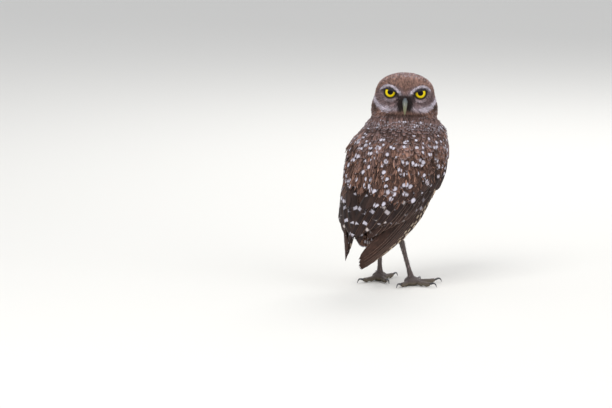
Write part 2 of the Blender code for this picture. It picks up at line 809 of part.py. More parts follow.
def stand_on_origin():
    """Moves everything so that the middle of the base of its box is the origin."""
    solids = [obj for obj in bpy.data.objects if obj.type == "MESH"]
    corners = [vert.co for obj in solids for vert in obj.data.vertices]
    low = Vector(min(c[k] for c in corners) for k in range(3))
    high = Vector(max(c[k] for c in corners) for k in range(3))
    shift = Vector((-(low.x + high.x) / 2, -(low.y + high.y) / 2, -low.z))
    for obj in solids:
        place(obj, Matrix.Translation(shift))


def main():
    clear_scene()
    random.seed(SEED)
    frame = head_frame()
    head = build_head()
    upper, lower = build_bill(head)
    eyes = [eyeball("eye_" + name, side, EYE_RADIUS) for name, side in (("left", 1), ("right", -1))]
    for obj in [head, upper, lower] + eyes:
        place(obj, frame)
    build_neck(frame)
    torso = build_torso()
    torso_clear = swollen(torso)
    for side_name in ("left", "right"):
        build_leg(side_name, torso_clear)
        build_wing(side_name)
    build_tail(torso_clear)
    discard(torso_clear)
    stand_on_origin()


main()
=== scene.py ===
"""A burrowing owl at life size: skin, plumage, eyes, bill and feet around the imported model.

All sizes are in millimetres unless a name says otherwise. The owl faces -Y, its left side
is +X and the floor is z = 0. The head has a frame of its own, in which it faces -Y too.
"""

import itertools
import math

import bmesh
import bpy
import numpy as np
from bpy.props import FloatProperty, FloatVectorProperty, IntProperty, PointerProperty
from mathutils import Matrix, Vector
from mathutils.bvhtree import BVHTree


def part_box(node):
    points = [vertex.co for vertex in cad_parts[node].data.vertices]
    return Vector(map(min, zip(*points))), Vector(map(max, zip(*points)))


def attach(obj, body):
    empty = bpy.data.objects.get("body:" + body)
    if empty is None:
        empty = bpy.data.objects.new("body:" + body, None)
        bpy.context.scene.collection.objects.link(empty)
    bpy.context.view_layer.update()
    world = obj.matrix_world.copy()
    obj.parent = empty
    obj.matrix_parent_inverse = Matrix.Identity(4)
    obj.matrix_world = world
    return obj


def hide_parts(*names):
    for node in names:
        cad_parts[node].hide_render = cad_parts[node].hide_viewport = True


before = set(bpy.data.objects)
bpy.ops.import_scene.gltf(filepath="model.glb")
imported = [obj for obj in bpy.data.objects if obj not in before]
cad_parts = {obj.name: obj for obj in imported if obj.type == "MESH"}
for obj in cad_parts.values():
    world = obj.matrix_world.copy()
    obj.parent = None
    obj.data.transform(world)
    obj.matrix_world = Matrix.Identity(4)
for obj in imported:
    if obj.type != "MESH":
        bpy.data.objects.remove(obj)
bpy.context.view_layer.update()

bl_info = {
    "name": "Burrowing owl",
    "version": (1, 0, 0),
    "blender": (4, 5, 0),
    "location": "View3D > Sidebar > Owl",
    "description": "Builds a life-size burrowing owl with its plumage",
    "category": "Add Mesh",
}

MM = 0.001
SIDES = {"left": 1, "right": -1}
DIGITS = (1, 2, 3, 4)
FLESH = ("head", "neck", "torso", "shank_left", "shank_right")
FEATHERS = "owl_feathers"
SKIN = "owl_skin"
# Grain of the skin's and the feet's even meshes
SKIN_GRAIN = 1.5
FOOT_GRAIN = 0.5
# How square the level sections are; 2 would make ellipses
FULLNESS = 2.3

# Head frame, as the solids have it
HEAD_AT = Vector((-5.0, -8.5, 201.0))
HEAD_TURN = math.radians(-138)
HEAD_LIFT = math.radians(-9)
HEAD_ROLL = math.radians(2)
# The head's lowest height, and how far its flesh reaches from its middle
HEAD_FLOOR = -23.5
HEAD_REACH = 48.0
EYE_RADIUS = 8.6
EYE_AT = (15.9, -16.2, 1.6)

# Height and middle of the body, which angles round it are measured from
SPINE = ((60.0, 20.0), (80.0, 14.0), (106.0, 6.0), (135.0, -2.0), (168.0, -12.0))
UNWRAP_HEIGHT = 240.0
# Height of the toes' tops, and the height below which a foot is on the floor
TOES_TOP = 9.0
SOLE = 0.3
# Feathered part of a leg: its place across and along, its reach round that and its top
SHANK_AT = (16.5, 5.0)
SHANK_REACH = 14.0
SHANK_TOP = 68.0

# Level sections: height, middle, half width, reach to the front and to the back
CHEST_ROWS = (
    (168.0, -12.0, 38.0, 39.0, 37.5),
    (160.0, -9.5, 43.5, 47.0, 43.5),
    (150.0, -6.0, 45.5, 51.5, 46.0),
    (135.0, -2.0, 45.5, 54.0, 45.5),
    (120.0, 2.0, 45.5, 54.0, 45.5),
    (106.0, 6.0, 44.0, 50.5, 45.0),
)
FOLD_ROWS = CHEST_ROWS + (
    (92.0, 11.0, 43.0, 45.0, 45.0),
    (80.0, 16.0, 41.0, 41.0, 43.0),
    (70.0, 21.0, 38.5, 37.0, 40.0),
    (56.0, 29.0, 32.0, 30.0, 32.0),
    (44.0, 37.5, 24.5, 22.0, 26.5),
    (34.0, 46.0, 17.5, 16.0, 22.0),
    (24.0, 55.5, 11.5, 12.0, 17.0),
    (16.0, 61.5, 8.0, 9.0, 13.0),
)
TAIL_ROWS = (
    (86.0, 38.0, 13.0, 8.0, 12.0),
    (76.0, 42.0, 16.0, 11.0, 10.5),
    (67.0, 44.5, 15.0, 9.0, 7.5),
    (60.0, 46.0, 12.0, 6.5, 5.5),
    (55.0, 47.0, 8.0, 4.0, 4.0),
    (52.0, 47.5, 4.0, 2.5, 2.5),
)
# Folded wing: its edges as height and angle, its lowest height by share of the way across,
# its thickness, how deep its inside lies in the body, and where it is thickest
WING_TOP = 157.0
WING_BACK = ((157.0, 44.0), (140.0, 28.0), (120.0, 13.0), (102.0, 4.0), (80.0, 3.0))
WING_FRONT = ((157.0, 100.0), (148.0, 115.0), (132.0, 124.0), (112.0, 124.0), (92.0, 117.0))
WING_FLOOR = ((0.0, 86.0), (0.5, 82.0), (1.0, 90.0))
WING_THICK = 5.6
WING_SUNK = 3.0
WING_PEAK = 0.22
TAIL_ROOT = Vector((0.0, 44.0, 84.0))
TAIL_TIP = Vector((0.0, 49.0, 43.5))

# Bill, in the head's frame: reach forward, height, half width, half depth
BILL_TOP = (
    (-18.0, -6.6, 3.1, 4.9),
    (-22.0, -7.1, 3.05, 4.7),
    (-25.0, -7.6, 2.95, 4.6),
    (-28.6, -9.4, 2.75, 4.2),
    (-31.2, -12.6, 2.35, 3.5),
    (-32.0, -16.4, 1.7, 2.5),
    (-31.4, -19.8, 1.0, 1.5),
    (-30.2, -22.4, 0.3, 0.4),
)
BILL_UNDER = (
    (-18.0, -15.2, 2.7, 2.3),
    (-23.0, -16.4, 2.4, 2.1),
    (-26.0, -17.5, 1.9, 1.6),
    (-27.9, -18.5, 0.9, 0.7),
)
NOSTRIL_AT = (2.8, -26.6, -5.9)
NOSTRIL_DEEP = 0.9

# Lids: radius of the opening below, height of the upper lid over the eye's middle, how steeply
# it falls to the bill, how far the lids' feathered skin reaches from the eye's middle, how wide
# a rim of it the head's feathers cover too, and how far the lids bulge
LID_OPEN = 5.8
LID_RISE = 1.5
LID_SLANT = 0.3
LID_REACH = 11.3
LID_SEAM = 0.5
LID_BULGE = 1.2
# Section of the lids: share of the way out from their edge, and height over the eye
LID_SECTION = ((0.0, 0.1), (0.0, 0.5), (0.05, 0.85), (0.14, 0.9), (0.28, 0.8), (0.45, 0.7),
               (0.65, 0.5), (0.85, 0.2), (1.0, -0.2), (0.94, -1.2), (0.5, -0.6), (0.1, 0.0),
               (0.0, 0.1))
# Clear front of the eye: its radius and how far it stands out. Then the width of the eyes' UV
# map, and the place in it that stands for the back of the ball
CORNEA = 6.2
CORNEA_RISE = 1.1
GAZE = 20.0
BEHIND = (0.99, 0.5)

# Lines of the face, across and up in the head's frame: white brow, black above the eye (dark lid
# skin with painted shadow of the brow over it), white lower rim, pale cheek, black beside the bill
# and black between the eyes
BROW_LINE = ((5.0, -0.4), (8.6, 3.4), (12.6, 6.6), (16.8, 8.2), (20.8, 8.0), (24.4, 5.6))
HOOD_LINE = ((9.0, 1.4), (13.0, 4.6), (17.0, 5.8), (21.0, 5.9), (23.5, 4.6))
RIM_LINE = ((7.0, -15.5), (14.0, -17.2), (22.0, -16.8), (28.0, -12.4), (32.0, -7.4), (33.4, -2.5))
CHEEK_LINE = ((6.0, -15.5), (14.0, -16.0), (24.0, -13.5))
LORE_LINE = ((3.5, -6.0), (6.0, -10.0), (5.0, -17.0))
BRIDGE_LINE = ((0.0, -2.8), (5.0, -3.4), (9.0, -3.0))

# Widths of one feather's patch in the map OFBake: small feathers, spotted rows, wings and tail
PATCH = 0.003
COVER_PATCH = 0.006
WING_PATCH = 0.085
TAIL_PATCH = 0.075
# Thickness of a feather at its root
VANE_THICK = 0.22

# For each number of rings along a feather: places from root to tip, and widths there
STEPS = {
    4: (np.array([0.0, 0.4, 0.78, 1.0]), np.array([0.5, 1.0, 0.86, 0.28])),
    5: (np.array([0.0, 0.3, 0.62, 0.86, 1.0]), np.array([0.5, 0.92, 1.0, 0.74, 0.24])),
    6: (np.array([0.0, 0.25, 0.5, 0.74, 0.9, 1.0]), np.array([0.5, 0.86, 1.0, 0.96, 0.7, 0.26])),
    8: (np.array([0.0, 0.16, 0.34, 0.52, 0.68, 0.82, 0.93, 1.0]),
        np.array([0.5, 0.74, 0.92, 1.0, 1.0, 0.95, 0.84, 0.66])),
    10: (np.array([0.0, 0.12, 0.26, 0.4, 0.54, 0.68, 0.8, 0.9, 0.965, 1.0]),
         np.array([0.5, 0.72, 0.88, 0.97, 1.0, 1.0, 0.95, 0.8, 0.55, 0.2])),
}

# Tiers of a folded wing from the lowest layer out, each from its front feather to its back
# one: count, roots and tips as (height, angle), half width, how far out, bow
TIERS = (
    ("primary", 9, ((108, 106), (101, 80)), ((36, 73), (44, 22)), 4.8, 1.7, 7.0),
    ("secondary", 8, ((108, 104), (112, 62)), ((82, 84), (55, 22)), 5.6, 3.1, 0.0),
    ("tertial", 5, ((112, 66), (126, 24)), ((70, 34), (50, -10.0)), 8.0, 4.3, 0.0),
    ("greater_covert", 10, ((126, 114), (128, 26)), ((103, 104), (86, 12)), 5.6, 4.9, 0.0),
)
# For each tier: share of dark brown, of black, spots, bars, pale tips and pale edge marks
TIER_MARKS = {
    # The dark and black shares of primaries, secondaries and tertials are partly the feathers' own
    # dark colour and partly painted shade of the lower wing
    "primary": (0.95, 0.15, 0.0, 0.0, 0.3, 0.9),
    "secondary": (0.6, 0.75, 0.0, 0.4, 0.5, 0.35),
    "tertial": (0.5, 0.95, 0.0, 0.9, 0.7, 0.2),
    # The greater coverts' black is partly painted shadow in the gap under the small covers
    "greater_covert": (0.75, 0.8, 0.9, 0.0, 0.2, 0.2),
}
# How far the middle primaries hang below the others, how much higher the left wing's point
# ends, how much farther out the right wing's tertials lie, and how far a vane tips sideways
PRIMARY_POINT = 16.0
LEFT_WING_SHORT = 6.0
RIGHT_TERTIALS_OUT = 0.7
VANE_TILT = 0.14

# Rows of small feathers over back and shoulders: the lowest tips by angle from the middle of
# the back, the top row's tips, rows, and spacing along the lowest and the top row
COVER_FLOOR = ((0, 103), (14, 101), (26, 97), (40, 95), (52, 91), (64, 95), (78, 101), (95, 108),
               (115, 118), (128, 124))
COVER_TOP = 154.0
COVER_ROWS = 10
COVER_SPACING = (11.0, 7.2)
COVER_LENGTH = (23.0, 11.0)
COVER_OUT = 1.3
# From this share of the way up, the rows end at this angle
COVER_SHOULDER = 0.85
COVER_SHOULDER_END = 98.0
# The body's radius, which turns the spacing into angles, and the number of loose plumes
BODY_ROUND = 48.0
PLUMES = 1100

# The photograph's frame: its middle across and up from the owl's foot, its scale and width
VIEW_CENTRE = (-95.1, 83.3)
MM_A_PIXEL = 1.06
PHOTO_WIDTH = 612
SENSOR = 36.0
# Lights: name, across, height and towards the camera in metres, size, watts
LIGHTS = (
    ("key", -0.7, 1.2, 1.0, 1.0, 16.0),
    ("fill", 1.1, 0.5, 0.9, 1.2, 6.0),
    ("rim", 0.3, 1.1, -1.1, 0.8, 8.0),
)


def lid_reach(across, up):
    """Distance from an eye's middle to the edge of its lids; across is positive to the outside."""
    across, up = np.asarray(across, float), np.asarray(up, float)
    reach = np.hypot(across, up) + 1e-9
    falls = (up - LID_SLANT * across) / reach
    under_upper = LID_RISE / np.maximum(falls, 0.05)
    return np.where(falls > 0.05, np.minimum(LID_OPEN, under_upper), LID_OPEN)


def srgb(*channels):
    """Scene-linear colour of 0 to 255 screen values."""
    shares = [c / 255 for c in channels]
    return tuple(s / 12.92 if s <= 0.04045 else ((s + 0.055) / 1.055) ** 2.4 for s in shares)


def colour_setting(name, about, *channels):
    """A colour for the panel; its default is given in 0 to 255 screen values."""
    return FloatVectorProperty(name=name, description=about, subtype="COLOR",
                               default=srgb(*channels))


def length_setting(name, about, default):
    return FloatProperty(name=name, description=about, unit="LENGTH", default=default * MM)


def angle_setting(name, about, degrees):
    return FloatProperty(name=name, description=about, subtype="ANGLE",
                         default=math.radians(degrees))


class OwlPlumage(bpy.types.PropertyGroup):
    brown: colour_setting("Brown", "Upperparts", 118, 90, 78)
    dark: colour_setting("Dark brown", "Streaks and flight feathers", 61, 43, 36)
    light: colour_setting("Light brown", "Paler upperparts", 170, 134, 116)
    white: colour_setting("White", "Spots, brows and bars", 215, 211, 224)
    buff: colour_setting("Buff", "Breast, belly and legs", 214, 194, 168)
    disc: colour_setting("Face", "Greyish brown of the face", 146, 128, 132)
    black: colour_setting("Black", "Round the eyes and the bill", 31, 25, 26)
    spot: length_setting("Spot", "Radius of a white spot", 2.8)
    depth: length_setting("Coat depth", "How far the skin lies below the body's outline", 1.5)
    seed: IntProperty(name="Seed", description="Seed of the feathers' places", default=7)


class OwlHead(bpy.types.PropertyGroup):
    iris: colour_setting("Iris", "Colour of the iris", 238, 214, 22)
    iris_radius: length_setting("Iris radius", "Radius of the iris", 5.6)
    pupil_radius: length_setting("Pupil radius", "Radius of the pupil", 2.9)
    bill: colour_setting("Bill", "Base of the bill", 112, 124, 138)
    bill_tip: colour_setting("Bill tip", "Tip and ridge of the bill", 158, 154, 98)


class OwlFeet(bpy.types.PropertyGroup):
    scale_colour: colour_setting("Leg", "Bare leg and toes", 92, 80, 78)
    sole: colour_setting("Sole", "Pads under the toes", 116, 106, 82)
    claw: colour_setting("Claw", "Colour of the claws", 36, 36, 44)


class OwlStage(bpy.types.PropertyGroup):
    floor: colour_setting("Floor", "Pale floor and backdrop", 226, 224, 218)
    distance: length_setting("Camera distance", "From the owl to the camera", 7200.0)
    azimuth: angle_setting("Azimuth", "Direction of the camera round the owl", 222)
    elevation: angle_setting("Elevation", "Height of the camera above level", 9)


class Tone:
    """A shader socket that can stand in an arithmetic expression."""

    def __init__(self, paint, socket):
        self.paint = paint
        self.socket = socket

    def __add__(self, other):
        return self.paint.math("ADD", self, other)

    def __radd__(self, other):
        return self.paint.math("ADD", other, self)

    def __sub__(self, other):
        return self.paint.math("SUBTRACT", self, other)

    def __rsub__(self, other):
        return self.paint.math("SUBTRACT", other, self)

    def __mul__(self, other):
        return self.paint.math("MULTIPLY", self, other)

    def __rmul__(self, other):
        return self.paint.math("MULTIPLY", other, self)

    def __truediv__(self, other):
        return self.paint.math("DIVIDE", self, other)

    def __pow__(self, other):
        return self.paint.math("POWER", self, other)

    def __abs__(self):
        return self.paint.math("ABSOLUTE", self)


class Paint:
    """A material whose nodes are written as expressions."""

    def __init__(self, name, **plain):
        self.material = bpy.data.materials.new(name)
        self.material.use_nodes = True
        self.tree = self.material.node_tree
        self.shader = self.tree.nodes["Principled BSDF"]
        for key, value in plain.items():
            self.shader.inputs[key.replace("_", " ")].default_value = value

    def put(self, socket, value):
        if isinstance(value, Tone):
            self.tree.links.new(value.socket, socket)
        elif hasattr(value, "__len__") and len(value) == 3 and socket.type == "RGBA":
            socket.default_value = (*value, 1.0)
        else:
            socket.default_value = value

    def node(self, kind, settings, *values, out=0, **named):
        """Adds one node: settings first, then its sockets in order or by name."""
        made = self.tree.nodes.new(kind)
        for key, value in settings.items():
            setattr(made, key, value)
        for socket, value in zip(made.inputs, values):
            self.put(socket, value)
        for key, value in named.items():
            self.put(made.inputs[key.replace("_", " ")], value)
        return Tone(self, made.outputs[out])

    def math(self, operation, *values):
        return self.node("ShaderNodeMath", {"operation": operation}, *values)

    def step(self, value, low, high):
        """Rises smoothly from 0 at low to 1 at high; high may be the lower of the two."""
        flip = float(high < low)
        return self.node("ShaderNodeMapRange", {"interpolation_type": "SMOOTHSTEP"}, Value=value,
                         From_Min=min(low, high), From_Max=max(low, high),
                         To_Min=flip, To_Max=1.0 - flip)

    def mix(self, factor, a, b, blend="MIX"):
        made = self.node("ShaderNodeMix", {"data_type": "RGBA", "blend_type": blend}, factor, out=2)
        for socket, colour in zip(made.socket.node.inputs[6:8], (a, b)):
            self.put(socket, colour)
        return made

    def place(self):
        """Object coordinates, in metres."""
        return self.node("ShaderNodeTexCoord", {}, out=3)

    def split(self, vector):
        made = self.node("ShaderNodeSeparateXYZ", {}, vector)
        return [Tone(self, socket) for socket in made.socket.node.outputs]

    def attribute(self, name):
        """Colour, vector and alpha of a named attribute."""
        made = self.node("ShaderNodeAttribute", {"attribute_name": name})
        outputs = made.socket.node.outputs
        return [Tone(self, outputs[key]) for key in ("Color", "Vector", "Alpha")]

    def uv(self, name):
        return self.split(self.node("ShaderNodeUVMap", {"uv_map": name}))[:2]

    def vector(self, x, y, z):
        return self.node("ShaderNodeCombineXYZ", {}, x, y, z)

    def noise(self, where, scale, detail=3.0, roughness=0.55):
        return self.node("ShaderNodeTexNoise", {}, Vector=where, Scale=scale, Detail=detail,
                         Roughness=roughness)

    def bump(self, height, strength, distance):
        made = self.node("ShaderNodeBump", {}, Strength=strength, Distance=distance, Height=height)
        self.put(self.shader.inputs["Normal"], made)

    def colour(self, value):
        self.put(self.shader.inputs["Base Color"], value)

    def roughness(self, value):
        self.put(self.shader.inputs["Roughness"], value)


def level_section(rows, height):
    """The rows' other columns at a height, on a smooth curve through the rows."""
    rising = sorted(rows)
    if height <= rising[0][0]:
        return list(rising[0][1:])
    if height >= rising[-1][0]:
        return list(rising[-1][1:])
    k = min(max(i for i, row in enumerate(rising) if row[0] <= height), len(rising) - 2)
    low, high = rising[k], rising[k + 1]
    step = high[0] - low[0]
    t = (height - low[0]) / step
    before = rising[k - 1] if k > 0 else low
    after = rising[k + 2] if k + 2 < len(rising) else high
    values = []
    for a, b, c, d in zip(before[1:], low[1:], high[1:], after[1:]):
        slope_in = (c - a) / (high[0] - before[0]) * step
        slope_out = (d - b) / (after[0] - low[0]) * step
        values.append(
            b * (2 * t**3 - 3 * t**2 + 1) + slope_in * (t**3 - 2 * t**2 + t)
            + c * (3 * t**2 - 2 * t**3) + slope_out * (t**3 - t**2)
        )
    return values


def full(value):
    return math.copysign(abs(value) ** (2 / FULLNESS), value)


def section_point(rows, height, angle, out=0.0):
    """A point of a level section in metres; angle 0 is the middle of the back, out is outwards."""
    middle, half, front, back = level_section(rows, height)
    s, c = math.sin(angle), math.cos(angle)
    reach = back if c > 0 else front
    point = Vector((full(s) * (half + out), middle + full(c) * (reach + out), height))
    return point * MM + SHIFT


def node_middle(name):
    low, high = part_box(name)
    return (low + high) / 2


HEAD_AXES = (Matrix.Rotation(HEAD_TURN, 3, "Z") @ Matrix.Rotation(HEAD_LIFT, 3, "X")
             @ Matrix.Rotation(HEAD_ROLL, 3, "Y"))
EYES_MIDDLE = (node_middle("eye_left") + node_middle("eye_right")) / 2
HEAD_MIDDLE = EYES_MIDDLE - HEAD_AXES @ Vector((0.0, EYE_AT[1], EYE_AT[2])) * MM
SHIFT = HEAD_MIDDLE - HEAD_AT * MM


def from_head(x, y, z):
    """A point of the head's frame, in the model's metres."""
    return HEAD_MIDDLE + HEAD_AXES @ Vector((x, y, z)) * MM


def in_head(points):
    """Points of the model as rows in the head's frame, in millimetres."""
    return (np.asarray(points) - np.array(HEAD_MIDDLE)) @ np.array(HEAD_AXES) / MM


def to_model(vectors):
    """Directions of the head's frame as rows in the model's."""
    return vectors @ np.array(HEAD_AXES).T


def in_body(points):
    return (np.asarray(points) - np.array(SHIFT)) / MM


def read_off(line, values):
    """Second column of a line of pairs at values of its first."""
    return np.interp(values, *np.array(sorted(line)).T)


def smooth(values, low, high):
    """Rises from 0 at low to 1 at high; high may be the lower of the two."""
    t = np.clip((values - low) / (high - low), 0.0, 1.0)
    return t * t * (3 - 2 * t)


def near(distance, width):
    """1 at no distance, falling to nothing over a few widths."""
    return np.exp(-((distance / width) ** 2))


def to_line(x, z, line):
    """Distance in a plane from points to a line through the given corners."""
    best = np.full(np.shape(x), 1e9)
    for (ax, az), (bx, bz) in zip(line, line[1:]):
        dx, dz = bx - ax, bz - az
        t = np.clip(((x - ax) * dx + (z - az) * dz) / (dx * dx + dz * dz), 0.0, 1.0)
        best = np.minimum(best, np.hypot(x - ax - t * dx, z - az - t * dz))
    return best


def over(colours, colour, share):
    """The colours with another laid over them by a share for each."""
    return colours + (np.array(colour)[None, :3] - colours) * np.clip(share, 0.0, 1.0)[:, None]


def layered(ground, count, *layers):
    """A ground colour for each of so many places, with more colours laid over it by shares."""
    made = np.tile(np.array(ground), (count, 1))
    for colour, share in layers:
        made = over(made, colour, share)
    return made


def body_turn(b):
    """Angle of body points from the middle of the back, in degrees, 180 at the breast."""
    return np.degrees(np.arctan2(np.abs(b[:, 0]), b[:, 1] - read_off(SPINE, b[:, 2])))


def head_share(q):
    """1 on the head, 0 below it, for points in the head's frame."""
    inside = np.hypot(np.hypot(q[:, 0], q[:, 1]), q[:, 2]) < HEAD_REACH
    return smooth(q[:, 2], HEAD_FLOOR - 2.0, HEAD_FLOOR + 2.0) * inside


def face_colours(q, plumage):
    """Colours of the head by place in its own frame."""
    x, y, z = np.abs(q[:, 0]), q[:, 1], q[:, 2]
    front = smooth(-y, 2.0, 12.0)
    eye = np.hypot(x - EYE_AT[0], z - EYE_AT[2])
    beyond = eye - lid_reach(x - EYE_AT[0], z - EYE_AT[2])
    disc = np.hypot((x - 15.5) / 17.0, (z + 5.5) / 14.0)
    corner = near(np.hypot(x - 9.2, z + 1.0), 2.6)
    wedge = smooth(z - 0.75 * x, 0.2, 2.4) * smooth(x, 9.0, 5.0) * smooth(z, 9.0, 3.0)

    def line(corners, width):
        return near(to_line(x, z, corners), width)

    rim = line(RIM_LINE, 1.9) * (0.3 + 0.7 * smooth(x, 12.0, 21.0))
    cheek_patch = near(np.hypot((x - 31.8) / 1.0, (z + 14.0) / 1.8), 3.4)
    chin = smooth(z, -20.5, -22.5) * smooth(x, 24.0, 16.0)
    return layered(
        plumage.brown, len(q),
        (plumage.light, 0.5 + 0.5 * smooth(z, 7.0, 16.0)),
        (plumage.disc, 0.15 + 0.45 * smooth(z, 12.0, 24.0)),
        (plumage.disc, 0.85 * front * smooth(disc, 1.15, 0.85)),
        (plumage.white, 0.55 * front * near(eye - 9.2, 1.2) * smooth(z, -4.0, -9.0)),
        (plumage.dark, 0.35 * front * near(eye - 13.2, 1.6) * smooth(x, 14.0, 22.0)),
        (plumage.white, 0.3 * front * line(CHEEK_LINE, 2.6)),
        (plumage.white, 0.95 * smooth(-y, -12.0, -3.0) * rim),
        (plumage.dark, 0.95 * cheek_patch),
        (plumage.dark, 0.8 * front * chin),
        (plumage.black, 0.95 * front * line(LORE_LINE, 2.6)),
        (plumage.black, 0.9 * front * line(BRIDGE_LINE, 1.7)),
        # Black above the eye: dark lid skin, partly painted shadow under the overhanging brow
        (plumage.black, front * np.maximum(line(HOOD_LINE, 2.7), corner)),
        (plumage.white, front * line(BROW_LINE, 1.1)),
        (plumage.black, front * smooth(beyond, 1.9, 1.0)),
        (plumage.dark, 0.35 * front * wedge),
    )


def body_colours(b, plumage):
    """Colours of body, neck and shanks by place, without the feathers' own marks."""
    turn, height = body_turn(b), b[:, 2]
    return layered(
        plumage.brown, len(b),
        (plumage.light, 0.25 * near(turn - 60, 40) * near(height - 140, 30)),
        (plumage.disc, 0.4 * smooth(height, 138, 160)),
        (plumage.dark, 0.35 * smooth(height, 144, 158)),
        (plumage.light, 0.5 * smooth(turn, 112, 128)),
        (plumage.buff, smooth(turn, 100, 118) * smooth(height, 138, 118)),
        (plumage.white, 0.8 * smooth(height, 86, 72) * smooth(turn, 60, 95)),
        (plumage.buff, 0.7 * near(height - 163, 4.0) * smooth(turn, 128, 145)),
    )


def place_colours(points, plumage):
    """Colours of skin and coat for points of the model."""
    flat = np.reshape(points, (-1, 3))
    q = in_head(flat)
    share = head_share(q)[:, None]
    return face_colours(q, plumage) * share + body_colours(in_body(flat), plumage) * (1 - share)


def body_unwrap(points):
    """Place on an unwrap of the body round its upright axis."""
    b = in_body(points)
    turn = np.arctan2(b[:, 0], read_off(SPINE, b[:, 2]) - b[:, 1])
    return np.stack([0.5 + turn / (2 * np.pi), b[:, 2] / UNWRAP_HEIGHT], 1)


def head_unwrap(points):
    """Place on an unwrap of the head that spreads evenly from the face to the nape."""
    q = in_head(points)
    away = np.arccos(np.clip(-q[:, 1] / (np.linalg.norm(q, axis=1) + 1e-9), -1, 1)) / np.pi
    turn = np.arctan2(q[:, 2], q[:, 0])
    return np.stack([0.5 + 0.48 * away * np.cos(turn), 0.5 + 0.48 * away * np.sin(turn)], 1)


def new_object(name, bm, material):
    """An object of the owl from a bmesh, riding on its body."""
    mesh = bpy.data.meshes.new(name)
    bm.to_mesh(mesh)
    bm.free()
    return dress(name, mesh, material)


def dress(name, mesh, material):
    """The same from a mesh."""
    made = bpy.data.objects.new(name, mesh)
    bpy.context.scene.collection.objects.link(made)
    mesh.materials.clear()
    mesh.materials.append(material)
    mesh.shade_smooth()
    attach(made, "root")
    return made


def evaluated(obj):
    """The object's modifiers applied to its mesh."""
    graph = bpy.context.evaluated_depsgraph_get()
    mesh = bpy.data.meshes.new_from_object(obj.evaluated_get(graph))
    old = obj.data
    obj.modifiers.clear()
    obj.data = mesh
    bpy.data.meshes.remove(old)


def merged(*names):
    """One bmesh of copies of the model's nodes, each merged."""
    bm = bmesh.new()
    for name in names:
        bm.from_mesh(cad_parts[name].data)
    bmesh.ops.remove_doubles(bm, verts=bm.verts[:], dist=1e-6)
    return bm


def formed(bm, along_steps, around_steps, place):
    """Adds a grid bent into a closed body by place(along, around), both from 0 to 1."""
    made = bmesh.ops.create_grid(bm, x_segments=along_steps, y_segments=around_steps, size=0.5)
    verts = made["verts"]
    for vert in verts:
        vert.co = place(vert.co.x + 0.5, vert.co.y + 0.5)
    faces = {face for vert in verts for face in vert.link_faces}
    bmesh.ops.remove_doubles(bm, verts=verts, dist=1e-7)
    rims = {edge for face in faces if face.is_valid for edge in face.edges if edge.is_boundary}
    bmesh.ops.holes_fill(bm, edges=list(rims), sides=0)
    bmesh.ops.recalc_face_normals(bm, faces=bm.faces[:])
    return bm


def remeshed(obj, size, rounds):
    """Joins the object's bodies to one even skin and smooths it."""
    remesh = obj.modifiers.new("even", "REMESH")
    remesh.mode = "VOXEL"
    remesh.voxel_size = size
    soften = obj.modifiers.new("soften", "SMOOTH")
    soften.factor = 0.5
    soften.iterations = rounds
    evaluated(obj)


def sided_point(height, angle, out, side):
    """A point round the folded owl at an angle in radians to one side of its back."""
    point = section_point(FOLD_ROWS, height, angle, out) - SHIFT
    return Vector((point.x * side, point.y, point.z)) + SHIFT


def wing_edges(height):
    """Angles of a folded wing's back and front edge at a height."""
    return level_section(WING_BACK, height)[0], level_section(WING_FRONT, height)[0]


def wing_core(bm, side):
    """The flesh and packed down of a folded wing, as a closed slab sunk into the body."""
    made = bmesh.ops.create_grid(bm, x_segments=14, y_segments=14, size=0.5)["verts"]
    faces = list({face for vert in made for face in vert.link_faces})
    raised = bmesh.ops.extrude_face_region(bm, geom=faces)
    upper = {g for g in raised["geom"] if isinstance(g, bmesh.types.BMVert)}
    for vert in made + list(upper):
        across, down = vert.co.x + 0.5, vert.co.y + 0.5
        floor = level_section(WING_FLOOR, across)[0]
        height = WING_TOP + (floor - WING_TOP) * down
        back, front = wing_edges(height)
        angle = math.radians(back + (front - back) * across)
        out = -WING_SUNK
        if vert in upper:
            past_peak = max(0.0, down - WING_PEAK) / (1.0 - WING_PEAK)
            rise = math.sqrt(min(1.0, down / WING_PEAK)) * (1.0 - 0.86 * past_peak)
            edge = min(1.0, 0.3 + across / 0.25, 0.3 + (1.0 - across) / 0.2)
            out = 0.4 + WING_THICK * rise * edge
        vert.co = sided_point(height, angle, out, side)
    bmesh.ops.recalc_face_normals(bm, faces=bm.faces[:])


def tail_core(bm):
    """The root of the tail, a closed body of level sections."""
    def place(along, around):
        height = TAIL_ROWS[0][0] + (TAIL_ROWS[-1][0] - TAIL_ROWS[0][0]) * along
        return section_point(TAIL_ROWS, height, 2 * math.pi * around)
    formed(bm, 12, 24, place)


def store(mesh, name, kind, values):
    """Puts an attribute's values on the mesh's points."""
    layer = mesh.attributes.new(name, kind, "POINT")
    key = "color" if kind == "FLOAT_COLOR" else "vector"
    layer.data.foreach_set(key, values.astype(np.float32).reshape(-1))


def mesh_arrays(mesh):
    """Places and normals of a mesh's points, and its triangles."""
    mesh.calc_loop_triangles()
    points = np.empty(len(mesh.vertices) * 3)
    normals = np.empty(len(mesh.vertices) * 3)
    corners = np.empty(len(mesh.loop_triangles) * 3, np.int64)
    mesh.vertices.foreach_get("co", points)
    mesh.vertices.foreach_get("normal", normals)
    mesh.loop_triangles.foreach_get("vertices", corners)
    return points.reshape(-1, 3), normals.reshape(-1, 3), corners.reshape(-1, 3)


def under_lids(q):
    """True for points of the head's frame that the lids' skin covers."""
    reach = np.hypot(np.abs(q[:, 0]) - EYE_AT[0], q[:, 2] - EYE_AT[2])
    return (q[:, 1] < 2.0) & (reach < LID_REACH - LID_SEAM)


